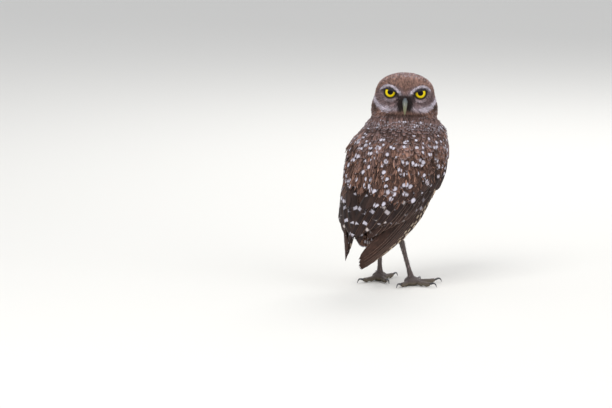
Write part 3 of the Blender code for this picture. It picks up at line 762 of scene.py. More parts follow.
class Hide:
    """The surface that feathers grow from: its tree for finding places, and its even normals."""

    def __init__(self, skin, lids=()):
        points, corners, even = [], [], []
        first = 0
        for mesh in (skin, *lids):
            place, normal, triangles = mesh_arrays(mesh)
            if mesh is skin:
                toward = normal[triangles].mean(1)
                kept = ~under_lids(in_head(place[triangles].mean(1))) | (not lids)
            else:
                a, b, c = (place[triangles[:, k]] for k in range(3))
                toward = np.cross(b - a, c - a)
            toward /= np.linalg.norm(toward, axis=1)[:, None] + 1e-12
            if mesh is not skin:
                kept = toward @ np.array(HEAD_AXES)[:, 1] < -0.05
            points.append(place)
            corners.append(triangles[kept] + first)
            even.append(toward[kept])
            first += len(place)
        self.points, self.corners = np.concatenate(points), np.concatenate(corners)
        self.normals = [Vector(n) for n in np.concatenate(even)]
        self.tree = BVHTree.FromPolygons([Vector(p) for p in self.points], self.corners.tolist())
        a, b, c = (self.points[self.corners[:, k]] for k in range(3))
        self.areas = np.linalg.norm(np.cross(b - a, c - a), axis=1) / 2

    def nearest(self, point):
        """The surface's nearest point and its normal there."""
        found, _, index, _ = self.tree.find_nearest(point)
        return found, self.normals[index]

    def scatter(self, spacing, keep, seed):
        """Points at least a spacing apart, in metres, where keep(points) is true."""
        rng = np.random.default_rng(seed)
        wanted = np.flatnonzero(keep(self.points[self.corners].mean(1)))
        areas = self.areas[wanted]
        count = int(areas.sum() / spacing**2 * 6)
        chosen = rng.choice(wanted, size=count, p=areas / areas.sum())
        s, t = rng.random((2, count))
        root = np.sqrt(s)[:, None]
        a, b, c = (self.points[self.corners[chosen, k]] for k in range(3))
        spots = a * (1 - root) + b * root * (1 - t[:, None]) + c * root * t[:, None]

        def apart(spot, cell):
            for step in itertools.product((-1, 0, 1), repeat=3):
                for other in cells.get(tuple(a + b for a, b in zip(cell, step)), ()):
                    gap = spots[other] - spot
                    if gap @ gap < spacing * spacing:
                        return False
            return True

        cells, kept = {}, []
        for index, cell in enumerate(map(tuple, np.floor(spots / spacing).astype(int).tolist())):
            if apart(spots[index], cell):
                cells.setdefault(cell, []).append(index)
                kept.append(index)
        return spots[kept]


hide = {}


def from_front(x, z):
    """Place on the face that is seen at x, z from in front of the head, or None beside it."""
    start = from_head(x, -60.0, z)
    return hide["skin"].tree.ray_cast(start, HEAD_AXES @ Vector((0.0, 1.0, 0.0)))[0]


class Quills:
    """Feathers gathered for one piece: rings of places, sides and normals, and their marks."""

    def __init__(self, columns=3, cup=0.22):
        self.columns = columns
        self.cup = cup
        self.rows = []

    def add(self, centres, sides, normals, halves, thick, marks, roots, size, hues=None):
        """Adds feathers; centres, sides and normals are (n, rings, 3), halves is (n, rings)."""
        self.rows.append((centres, sides, normals, halves, thick, marks, roots, size, hues))

    def add_vanes(self, made, marks, draw, hues, thick=VANE_THICK, root=0, long=None):
        """Adds what vane_rings made; draw is a random number for each, root the ring to bake at."""
        centres, sides, normals, halves = (np.array(column) for column in zip(*made))
        length = np.linalg.norm(np.diff(centres, axis=1), axis=2).sum(1) / MM
        if long is not None:
            length = np.full(len(made), long)
        size = np.stack([halves.max(1) * 2 / MM, length, draw], 1)
        self.add(centres, sides, normals, halves, np.full(halves.shape, thick * MM), marks,
                 centres[:, root], size, hues)

    def make(self, name, material, unwrap, plumage, patch=PATCH, ragged=0.0, ridged=0.0):
        """Builds the piece; ragged and ridged are how uneven the ends and faces are, in mm."""
        centres, sides, normals, halves, thick, marks, roots, size = (
            np.concatenate([row[k] for row in self.rows]) for k in range(8))
        n, rings = halves.shape
        across = np.linspace(-1, 1, self.columns)
        ring = self.columns + 1
        points = np.empty((n, rings, ring, 3))
        rng = np.random.default_rng(n)
        ahead = np.gradient(centres, axis=1)
        ahead /= np.linalg.norm(ahead, axis=2)[..., None] + 1e-12
        steps = STEPS[rings][0]
        ending = np.clip((steps - 0.5) / 0.5, 0.0, 1.0) ** 1.6
        shifts = np.zeros((n, rings, ring))
        for k, s in enumerate(across):
            if ragged:
                drawn = rng.uniform(-1.0, 0.3, n) * ragged * MM - 0.55 * halves.max(1) * s * s
                shifts[:, :, k] = drawn[:, None] * ending[None]
            ridge = rng.normal(0.0, ridged * MM, n)[:, None] * np.sqrt(steps)[None]
            lift = thick * (1 - s * s) - self.cup * halves * s * s + ridge
            points[:, :, k] = (centres + sides * (halves * s)[..., None] + normals * lift[..., None]
                               + ahead * shifts[:, :, k, None])
        points[:, :, -1] = centres - normals * (0.6 * thick)[..., None]
        mesh, loops = self.mesh(name, points)
        hue = self.hue(centres, plumage).reshape(n * rings, 4)
        each = rings * ring
        for key, kind, values in (("hue", "FLOAT_COLOR", np.repeat(hue, ring, 0)),
                                  ("marks", "FLOAT_COLOR", np.repeat(marks, each, 0)),
                                  ("size", "FLOAT_VECTOR", np.repeat(size, each, 0))):
            store(mesh, key, kind, values)
        u = np.append((across + 1) / 2, 0.5)
        v = steps[None, :, None] + shifts / (size[:, 1] * MM)[:, None, None]
        vane = np.stack(np.broadcast_arrays(u[None, None, :], v), -1).reshape(-1, 2)
        bake = np.repeat(unwrap(roots), each, 0) + (vane - 0.5) * patch
        for key, values in (("vane", vane), ("OFBake", bake)):
            layer = mesh.uv_layers.new(name=key)
            layer.data.foreach_set("uv", values[loops].astype(np.float32).reshape(-1))
        mesh.uv_layers.active = mesh.uv_layers["vane"]
        return dress(name, mesh, material)

    def mesh(self, name, points):
        """A mesh of closed vanes from their rings of points, and its corners."""
        n, rings, ring, _ = points.shape
        base = (np.arange(n) * rings * ring)[:, None, None]
        quads = np.array([
            (r * ring + k, r * ring + (k + 1) % ring,
             (r + 1) * ring + (k + 1) % ring, (r + 1) * ring + k)
            for r in range(rings - 1) for k in range(ring)])
        ends = np.array([range(ring)[::-1], range((rings - 1) * ring, rings * ring)])
        quads, ends = ((base + faces[None]).reshape(-1) for faces in (quads, ends))
        loops = np.concatenate([quads, ends])
        starts = np.concatenate([np.arange(0, len(quads), 4),
                                 len(quads) + np.arange(0, len(ends), ring)])
        mesh = bpy.data.meshes.new(name)
        mesh.vertices.add(n * rings * ring)
        mesh.vertices.foreach_set("co", points.reshape(-1))
        mesh.loops.add(len(loops))
        mesh.loops.foreach_set("vertex_index", loops.astype(np.int32))
        mesh.polygons.add(len(starts))
        mesh.polygons.foreach_set("loop_start", starts.astype(np.int32))
        mesh.update(calc_edges=True)
        return mesh, loops

    def hue(self, centres, plumage):
        """Colour of each ring, from the place where it lies or as given."""
        n, rings = centres.shape[:2]
        made = np.zeros((n, rings, 4))
        first = 0
        for places, *_, given in self.rows:
            part = made[first:first + len(places)]
            if given is None:
                part[:, :, :3] = place_colours(places, plumage).reshape(len(places), rings, 3)
            else:
                part[:, :, :given.shape[1]] = given[:, None, :]
            first += len(places)
        return made


def lay(quills, roots, flow, length, width, sunk, raised, rings, rng, marks, stiff=0.35,
        thick=VANE_THICK, fluff=0.35, hues=None, skin=None):
    """Lays feathers on the skin from their roots along a flow.

    length, width, sunk and raised are millimetres, each a number or one for each root: how
    deep the root sits and how far the tip lies above the skin.
    """
    n = len(roots)
    steps, profile = STEPS[rings]
    length = np.broadcast_to(length, n) * rng.uniform(0.88, 1.12, n) * MM
    width = np.broadcast_to(width, n) * rng.uniform(0.88, 1.12, n) * MM
    sunk = np.broadcast_to(sunk, n) * MM
    raised = (np.broadcast_to(raised, n) + fluff * rng.uniform(-1, 1, n)) * MM
    skew = rng.normal(0.0, 0.10, n)
    centres = np.empty((n, rings, 3))
    normals = np.empty((n, rings, 3))
    skin = skin or hide["skin"]
    for i in range(n):
        at = Vector(roots[i])
        spot, normal = skin.nearest(at)
        way = Vector(flow[i])
        way = (way - normal * way.dot(normal)).normalized()
        way = (way + normal.cross(way) * skew[i]).normalized()
        start, first_way = spot.copy(), way.copy()
        last = 0.0
        for r, t in enumerate(steps):
            if r:
                guess = spot + way * (t - last) * length[i]
                spot, normal = skin.nearest(guess)
                way = (way - normal * way.dot(normal)).normalized()
                straight = start + first_way * t * length[i]
                lifted = (straight - spot).dot(normal)
                base = spot + normal * max(0.0, lifted) * stiff
            else:
                base = spot
            last = t
            high = -sunk[i] + (raised[i] + sunk[i]) * t**0.8
            centres[i, r] = base + normal * high
            normals[i, r] = normal
    tangents = np.gradient(centres, axis=1)
    tangents /= np.linalg.norm(tangents, axis=2)[..., None] + 1e-12
    sides = np.cross(tangents, normals)
    sides /= np.linalg.norm(sides, axis=2)[..., None] + 1e-12
    normals = np.cross(sides, tangents)
    halves = width[:, None] * 0.5 * profile[None]
    thickness = thick * MM * np.broadcast_to(1.0 - 0.55 * steps, (n, rings))
    size = np.stack([width / MM, length / MM, rng.random(n)], 1)
    quills.add(centres, sides, normals, halves, thickness, marks, roots, size, hues)


def marks_of(n, rng, spot=0.0, bar=0.0, tip=0.0):
    """Strength of white spots, bars and pale tips for n feathers, and a random number."""
    return np.stack([np.full(n, spot), np.full(n, bar), np.full(n, tip), rng.random(n)], 1)


def feather_paint(plumage):
    """Plumage: colour from where a feather lies, then its shaft, barbs, spots, bars and tip."""
    paint = Paint(FEATHERS, Roughness=0.8, Sheen_Weight=0.05, Sheen_Roughness=0.5,
                  Specular_IOR_Level=0.2)
    dark, light, white, buff = (
        tuple(colour) for colour in (plumage.dark, plumage.light, plumage.white, plumage.buff))
    hue, _, edging = paint.attribute("hue")
    mark, _, chance = paint.attribute("marks")
    spot, bar, tip = paint.split(mark)
    wide, long, draw = paint.split(paint.attribute("size")[1])
    u, v = paint.uv("vane")
    across = (u - 0.5) * wide
    from_tip = (1 - v) * long
    side = abs(across)
    where = paint.place()
    cloud = paint.noise(where, 900.0, 3.0)
    mottle = paint.step(paint.noise(where, 240.0, 2.0), 0.36, 0.62)
    drawn = paint.vector(across * 0.8 + chance * 60.0, from_tip * 0.13 + side * 0.12, draw * 9.0)
    streaks = paint.noise(drawn, 1.0, 3.0, 0.6)

    # Ground: streaks along the barbs, each feather a little lighter or darker, dark shaft
    fine = paint.step(wide, 3.0, 1.5) * 0.5
    tone = paint.step(streaks, 0.38, 0.6) * 0.5 + draw * 0.24 + mottle * 0.26
    tone = tone * (1.0 - fine) + draw * fine
    base = paint.mix(0.9, hue, paint.mix(tone, (0.1, 0.09, 0.1), (2.1, 1.95, 1.9)), "MULTIPLY")
    streak = paint.step(side / wide + (streaks - 0.5) * 0.3, 0.24, 0.04)
    base = paint.mix(streak * paint.step(chance, 0.0, 0.6) * 0.75, base, dark)
    shadow = paint.step(paint.noise(where, 80.0, 2.0), 0.58, 0.38) * paint.step(wide, 1.5, 5.0)
    base = paint.mix(shadow * 0.4, base, dark)

    # Spots near the tip, one on some feathers and a pair on others, in a dark surround
    skew = (streaks - 0.5) * 0.8
    paired = paint.step(draw, 0.52, 0.54)
    lone = across - wide * (chance - 0.5) * 0.4
    slot = paint.mix(paired, abs(lone), abs(side - wide * 0.25))
    radius = paint.math("MINIMUM", plumage.spot / MM * (0.72 + 0.4 * chance), wide * 0.22)
    reach = paint.math(
        "SQRT", slot * slot + (from_tip - radius * 1.35 - wide * 0.1 - across * skew * 0.3) ** 2.0)
    ragged = reach / radius + (cloud - 0.5) * 0.5 + (streaks - 0.5) * 0.25
    base = paint.mix(paint.step(ragged, 2.1, 1.2) * spot * 0.75, base, dark)
    base = paint.mix(paint.step(ragged, 1.3, 0.6) * spot, base, white)

    # Broken bars, open at the shaft and at the edges
    wave = paint.math("SINE", (from_tip + across * skew) * 0.43 + chance * 6.28)
    patch = paint.vector(across * 0.08, from_tip * 0.1, draw * 37.0)
    kept = (paint.step(paint.noise(patch, 1.0, 1.0), 0.46, 0.54)
            * paint.step(side / wide, 0.46, 0.36))
    kept = kept * paint.step(side / wide, 0.02, 0.1)
    band = paint.step(wave + (streaks - 0.5) * 0.7, 0.58, 0.9) * kept * bar
    base = paint.mix(band, base, paint.mix(draw * 0.5, white, buff))

    # Buff marks down one edge and a pale line round, where edging asks for them, and a pale tip.
    # The pale line round is partly a pale fringe and partly a painted highlight on the edges
    margin = paint.math("SINE", from_tip * 0.6 + draw * 3.0)
    margin = paint.step(margin, 0.1, 0.6) * paint.step(u, 0.6, 0.74)
    base = paint.mix(margin * paint.step(edging, 0.5, 0.9), base, buff)
    line = (paint.step(side / wide + (streaks - 0.5) * 0.04, 0.43, 0.48)
            * paint.step(edging, 0.0, 0.3))
    base = paint.mix(line * 0.55, base, light)
    edge = paint.step(from_tip + (streaks - 0.5) * 2.0, 1.8, 0.4) * tip
    base = paint.mix(edge, base, white)

    # Barbs, and shade towards the root, where the next feather lies over
    barbs = paint.math("SINE", (v * long + side * 1.1) * 9.0 + cloud * 5.0)
    shaded = paint.step(v + (streaks - 0.5) * 0.4, 0.82, 0.45) * paint.step(wide, 2.5, 5.0) * 0.45
    base = paint.mix(shaded, base, (0.12, 0.1, 0.1), "MULTIPLY")
    paint.colour(paint.mix(0.12 * (barbs * 0.5 + 0.5), base, dark))
    paint.roughness(0.72 + 0.2 * cloud)
    shaft = paint.step(side, 0.22, 0.05)
    paint.bump(barbs * 0.5 + shaft * 1.5, 0.35, 0.0002)
    return paint.material


def skin_paint():
    """Skin and lids: the colour of their place, with fine grain."""
    paint = Paint(SKIN, Roughness=0.85)
    hue, _, _ = paint.attribute("hue")
    grain = paint.noise(paint.place(), 1400.0, 4.0)
    paint.colour(paint.mix(0.5 + grain * 0.3, hue, (0.35, 0.33, 0.33), "MULTIPLY"))
    paint.bump(grain, 0.4, 0.0004)
    return paint.material


def feather_finish(plumage):
    """The feathers' material, made once and then shared."""
    return bpy.data.materials.get(FEATHERS) or feather_paint(plumage)


def tint(mesh, plumage):
    """Stores the colour of each point's place on the mesh."""
    points = mesh_arrays(mesh)[0]
    hue = np.ones((len(points), 4))
    hue[:, :3] = place_colours(points, plumage)
    store(mesh, "hue", "FLOAT_COLOR", hue)


class OWL_OT_skin(bpy.types.Operator):
    """One skin for head, neck, body, the wings' flesh, tail root and shanks"""

    bl_idname = "owl.skin"
    bl_label = "Skin"

    def execute(self, context):
        plumage = context.scene.owl_plumage
        bm = merged(*FLESH)
        for side in SIDES.values():
            wing = bmesh.new()
            wing_core(wing, side)
            part = bpy.data.meshes.new("part")
            wing.to_mesh(part)
            wing.free()
            bm.from_mesh(part)
            bpy.data.meshes.remove(part)
        tail_core(bm)
        skin = new_object("skin", bm, skin_paint())
        remeshed(skin, SKIN_GRAIN * MM, 6)
        mesh = skin.data
        points, normals, _ = mesh_arrays(mesh)
        b = in_body(points)
        on_head = head_share(in_head(points))
        depth = plumage.depth * (1.0 - 0.35 * on_head)
        mantle = near(body_turn(b), 42) * near(b[:, 2] - 128, 34) * (1 - on_head)
        points = points + normals * (2.6 * MM * mantle - depth)[:, None]
        mesh.vertices.foreach_set("co", points.reshape(-1))
        mesh.update()
        tint(mesh, plumage)
        mesh.shade_smooth()
        hide["skin"] = Hide(mesh)
        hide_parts(*FLESH)
        return {"FINISHED"}


def eye_paint(head):
    """Wet black pupil, yellow iris with fine rays and a dark rim."""
    paint = Paint("eye_gloss", Roughness=0.12, Coat_Weight=0.15, Coat_Roughness=0.02, IOR=1.33,
                  Coat_IOR=1.33, Specular_IOR_Level=0.15)
    u, v = paint.uv("gaze")
    x = (u - 0.5) * GAZE
    z = (v - 0.5) * GAZE
    reach = paint.math("SQRT", x * x + z * z)
    turn = paint.math("ARCTAN2", z, x)
    rays = paint.noise(paint.vector(turn * 9.0, reach * 0.35, 0.0), 1.6, 4.0, 0.7)
    iris = head.iris_radius / MM
    pupil = head.pupil_radius / MM
    bright = tuple(head.iris)
    deep = (bright[0] * 0.62, bright[1] * 0.5, bright[2] * 0.5)
    gold = paint.mix(paint.step(rays, 0.25, 0.6), deep, bright)
    gold = paint.mix(paint.step(reach, pupil + 0.7, pupil + 0.1) * 0.4, gold, deep)
    gold = paint.mix(paint.step(reach, iris - 1.0, iris - 0.1) * 0.8, gold, (0.05, 0.035, 0.01))
    shown = paint.mix(paint.step(reach, pupil, pupil + 0.16), (0.002, 0.002, 0.003), gold)
    paint.colour(paint.mix(paint.step(reach, iris - 0.12, iris + 0.1), shown, (0.01, 0.008, 0.008)))
    return paint.material


def cornea(off_axis):
    """How far the clear front of the eye stands out from the ball."""
    return CORNEA_RISE * max(0.0, 1.0 - (off_axis / CORNEA) ** 2) ** 1.2


def eye_heart(side):
    return Vector((side * EYE_AT[0], EYE_AT[1], EYE_AT[2]))


def eye_ball(side):
    """Eyeball with its clear front bulging, in the model's frame."""
    bm = bmesh.new()
    bmesh.ops.create_uvsphere(bm, u_segments=64, v_segments=48, radius=EYE_RADIUS)
    bmesh.ops.rotate(bm, verts=bm.verts[:], matrix=Matrix.Rotation(math.pi / 2, 3, "X"))
    layer = bm.loops.layers.uv.new("gaze")
    for face in bm.faces:
        for loop in face.loops:
            co = loop.vert.co
            in_front = (0.5 + co.x / GAZE, 0.5 + co.z / GAZE)
            loop[layer].uv = BEHIND if co.y > 0 else in_front
    for vert in bm.verts:
        off_axis = math.hypot(vert.co.x, vert.co.z)
        if vert.co.y < 0:
            vert.co.y -= cornea(off_axis)
        vert.co = from_head(*(vert.co + eye_heart(side)))
    return bm


def lid_skin(bm, side):
    """Lids: a shell from the edge of the opening over the eyeball and back to the head's skin."""
    heart = eye_heart(side)
    section = np.array(LID_SECTION).T
    steps = np.linspace(0.0, 1.0, section.shape[1])

    def place(along, around):
        turn = 2 * math.pi * along
        outward = Vector((side * math.cos(turn), 0.0, math.sin(turn)))
        inner = float(lid_reach(math.cos(turn), math.sin(turn)))
        ahead = math.sqrt(EYE_RADIUS**2 - inner * inner) + cornea(inner)
        edge = outward * inner - Vector((0.0, ahead, 0.0))
        outer = heart + outward * LID_REACH
        rim = Vector(in_head([from_front(outer.x, outer.z)])[0]) - heart
        share, lift = (float(np.interp(around, steps, row)) for row in section)
        point = edge.lerp(rim, share) - Vector((0.0, LID_BULGE * math.sin(math.pi * share), 0.0))
        least = EYE_RADIUS + cornea(math.hypot(point.x, point.z))
        point *= max(1.0, least / point.length)
        return from_head(*(heart + point + point.normalized() * lift))

    return formed(bm, 96, 36, place)


class OWL_OT_eyes(bpy.types.Operator):
    """Both eyeballs and the feathered lids round them"""

    bl_idname = "owl.eyes"
    bl_label = "Eyes"

    def execute(self, context):
        finish = eye_paint(context.scene.owl_head)
        lids = []
        for name, side in SIDES.items():
            eye = new_object("eye_" + name + "_ball", eye_ball(side), finish)
            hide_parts("eye_" + name)
            lid = new_object("lids_" + name, lid_skin(bmesh.new(), side),
                             bpy.data.materials[SKIN])
            tint(lid.data, context.scene.owl_plumage)
            lids.append(lid.data)
        hide["skin"] = Hide(bpy.data.objects["skin"].data, lids)
        return {"FINISHED"}


def bill_paint(head):
    """Grey-green horn, paler and yellower to the tip, with a painted highlight along the ridge and
    painted shade over the sides and underside.
    """
    paint = Paint("bill_horn", Roughness=0.38, Coat_Weight=0.25, Coat_Roughness=0.2)
    u, v = paint.uv("vane")
    drawn = paint.node("ShaderNodeVectorMath", {"operation": "MULTIPLY"}, paint.place(),
                       (1.0, 1.0, 0.25))
    grain = paint.noise(drawn, 2600.0, 4.0)
    tone = paint.mix(paint.step(v, 0.3, 0.85), tuple(head.bill), tuple(head.bill_tip))
    # Painted highlight: a pale stripe along the ridge
    tone = paint.mix(paint.step(abs(u - 0.5), 0.14, 0.02) * 0.3, tone, (0.62, 0.64, 0.6))
    # Painted shade: the sides and underside darken away from the ridge
    tone = paint.mix(paint.step(abs(u - 0.5), 0.12, 0.26) * 0.6, tone, (0.06, 0.062, 0.055))
    tone = paint.mix(paint.step(v, 0.3, 0.12) * 0.6, tone, (0.06, 0.065, 0.06))
    tone = paint.mix(paint.step(grain, 0.5, 0.8) * 0.2, tone, (0.12, 0.12, 0.09))
    paint.colour(tone)
    paint.bump(grain, 0.25, 0.0002)
    return paint.material


def bill_half(rows, flat_under):
    """A half of the bill, its sections square to its path; the ridge is at around 0.5."""
    path = [(i / (len(rows) - 1), *row) for i, row in enumerate(rows)]
    bm = bmesh.new()

    def spot(along):
        y, z, *_ = level_section(path, along)
        return Vector((0.0, y, z))

    def place(along, around):
        _, _, half_width, half_depth = level_section(path, along)
        ahead = (spot(min(1.0, along + 0.01)) - spot(max(0.0, along - 0.01))).normalized()
        up = ahead.cross(Vector((1.0, 0.0, 0.0)))
        turn = 2 * math.pi * (around - 0.5)
        s, c = math.sin(turn), math.cos(turn)
        sharp = half_width * s * (1.0 - 0.22 * max(0.0, c))
        deep = half_depth * c * (flat_under if c < 0 else 1.0)
        point = spot(along) + Vector((sharp, 0.0, 0.0)) - up * deep
        for side in (-1, 1):
            hole = Vector((side * NOSTRIL_AT[0], NOSTRIL_AT[1], NOSTRIL_AT[2]))
            point.x -= side * NOSTRIL_DEEP * math.exp(-(point - hole).length ** 2)
        return from_head(*point)

    bmesh.ops.create_grid(bm, x_segments=40, y_segments=32, size=0.5)
    layer = bm.loops.layers.uv.new("vane")
    for face in bm.faces:
        for loop in face.loops:
            loop[layer].uv = (loop.vert.co.y + 0.5, loop.vert.co.x + 0.5)
    for vert in bm.verts:
        vert.co = place(vert.co.x + 0.5, vert.co.y + 0.5)
    bmesh.ops.remove_doubles(bm, verts=bm.verts[:], dist=1e-7)
    bmesh.ops.holes_fill(bm, edges=[e for e in bm.edges if e.is_boundary], sides=0)
    bmesh.ops.recalc_face_normals(bm, faces=bm.faces[:])
    return bm


class OWL_OT_bill(bpy.types.Operator):
    """Hooked upper and lower halves of the bill"""

    bl_idname = "owl.bill"
    bl_label = "Bill"

    def execute(self, context):
        finish = bill_paint(context.scene.owl_head)
        for name, node, rows, flat_under in (("bill_hook", "bill_upper", BILL_TOP, 0.75),
                                             ("bill_below", "bill_lower", BILL_UNDER, 1.0)):
            half = new_object(name, bill_half(rows, flat_under), finish)
            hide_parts(node)
        return {"FINISHED"}


def foot_paint(feet):
    """Bare leg and toes: plates over fine scales, yellower pads."""
    paint = Paint("bare_leg", Roughness=0.6)
    where = paint.place()
    cells = paint.node("ShaderNodeTexVoronoi", {"feature": "DISTANCE_TO_EDGE"}, Vector=where,
                       Scale=1100.0)
    grain = paint.noise(where, 700.0, 4.0)
    low = paint.split(where)[2]
    tone = paint.mix(paint.step(low, 0.006, 0.001) * 0.7, tuple(feet.scale_colour),
                     tuple(feet.sole))
    tone = paint.mix(paint.step(grain, 0.45, 0.75) * 0.5, tone, tuple(feet.sole))
    tone = paint.mix(paint.step(cells, 0.1, 0.0) * 0.6, tone, (0.03, 0.024, 0.02))
    paint.colour(tone)
    paint.roughness(0.5 + 0.25 * grain)
    paint.bump(paint.step(cells, 0.0, 0.14) + grain * 0.4, 0.6, 0.0003)
    return paint.material


class OWL_OT_feet(bpy.types.Operator):
    """Bare legs and toes with sparse bristles, and the claws"""

    bl_idname = "owl.feet"
    bl_label = "Feet"

    def execute(self, context):
        feet = context.scene.owl_feet
        plumage = context.scene.owl_plumage
        scales = foot_paint(feet)
        horn = claw_paint(feet)
        rng = np.random.default_rng(plumage.seed + 10)
        quills = Quills()
        for name in SIDES:
            nodes = ["tarsus_" + name] + [f"toe_{name}_{k}" for k in DIGITS]
            foot = new_object("foot_" + name, merged(*nodes), scales)
            remeshed(foot, FOOT_GRAIN * MM, 4)
            mesh = foot.data
            ring_plates(mesh)
            mesh.shade_smooth()
            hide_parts(*nodes)
            self.bristles(quills, Hide(mesh), plumage, rng)
            for k in DIGITS:
                node = f"claw_{name}_{k}"
                claw = new_object(f"talon_{name}_{k}", merged(node), horn)
                rounder = claw.modifiers.new("round", "SUBSURF")
                rounder.levels = 2
                rounder.render_levels = 2
                evaluated(claw)
                claw.data.shade_smooth()
                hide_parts(node)
        finish = feather_finish(plumage)
        quills.make("coat_legs", finish, body_unwrap, plumage)
        return {"FINISHED"}

    def bristles(self, quills, leg, plumage, rng):
        """Sparse bristly feathers down a bare leg."""
        roots = leg.scatter(2.4 * MM, lambda points: points[:, 2] > TOES_TOP * MM, plumage.seed)
        flow = np.tile((0.0, 0.1, -1.0), (len(roots), 1))
        hues = np.array(plumage.disc) * rng.uniform(0.6, 1.4, (len(roots), 1))
        lay(quills, roots, flow, 3.4, 0.45, 0.1, 0.75, 4, rng, marks_of(len(roots), rng),
            thick=0.1, fluff=0.25, hues=hues, skin=leg)


def ring_plates(mesh):
    """Raises plates along the legs and on top of the toes, and levels the soles."""
    points, normals, _ = mesh_arrays(mesh)
    height = points[:, 2] / MM
    leg = smooth(height, TOES_TOP, TOES_TOP + 4.0)
    reach = np.linalg.norm((points - points[height < TOES_TOP].mean(0))[:, :2], axis=1) / MM
    toe = (1 - leg) * smooth(normals[:, 2], 0.0, 0.5)
    wave = 0.22 * leg * np.abs(np.sin(height * 1.45)) + 0.25 * toe * np.abs(np.sin(reach * 1.5))
    points += normals * (wave * MM - 0.1 * MM)[:, None]
    points[points[:, 2] < SOLE * MM, 2] = 0.0
    mesh.vertices.foreach_set("co", points.reshape(-1))
    mesh.update()


def claw_paint(feet):
    """Dark polished horn."""
    paint = Paint("talon", Roughness=0.28, Coat_Weight=0.5, Coat_Roughness=0.12)
    grain = paint.noise(paint.place(), 1500.0, 3.0)
    paint.colour(paint.mix(grain, tuple(feet.claw), (0.05, 0.045, 0.045)))
    paint.bump(grain, 0.2, 0.0001)
    return paint.material


def head_flow(q):
    """Way the head's feathers point, in its own frame: out from the face and back over it."""
    x, y, z = q[:, 0], q[:, 1], q[:, 2]
    side = np.where(x < 0, -1.0, 1.0)
    from_bill = np.stack([x, 12.0 + 0.6 * (y + 28.0), z + 6.0], 1)
    from_bill /= np.linalg.norm(from_bill, axis=1)[:, None]
    fall = smooth(y, 0.0, 22.0)[:, None] * np.array([0.0, 0.0, -1.0])[None]
    ex, ez = x - side * EYE_AT[0], z - EYE_AT[2]
    reach = np.hypot(ex, ez)
    from_eye = np.stack([ex, 0.25 * reach, ez], 1) / (reach[:, None] + 1e-9)
    share = (near(reach, 13.5) * smooth(-y, 4.0, 12.0))[:, None]
    inner = smooth(np.abs(x), 11.0, 6.0) * smooth(z, 4.0, -2.0) * smooth(-y, 4.0, 12.0)
    down = np.stack([0.35 * side, np.full(len(q), -0.25), np.full(len(q), -1.0)], 1)
    flow = from_eye * share + (from_bill + fall) * (1 - share)
    return flow * (1 - inner)[:, None] + down * inner[:, None]


def on_face(q):
    """True on the front of the head, which the finest feathers cover."""
    across, up = np.abs(q[:, 0]) - EYE_AT[0], q[:, 2] - EYE_AT[2]
    beyond = np.hypot(across, up) - lid_reach(across, up)
    reach = np.hypot(q[:, 0] / 33.0, (q[:, 2] + 5.0) / 19.0)
    return (q[:, 1] < -4.0) & (reach < 1.0) & (beyond > 0.9) & (q[:, 2] > HEAD_FLOOR + 1.0)


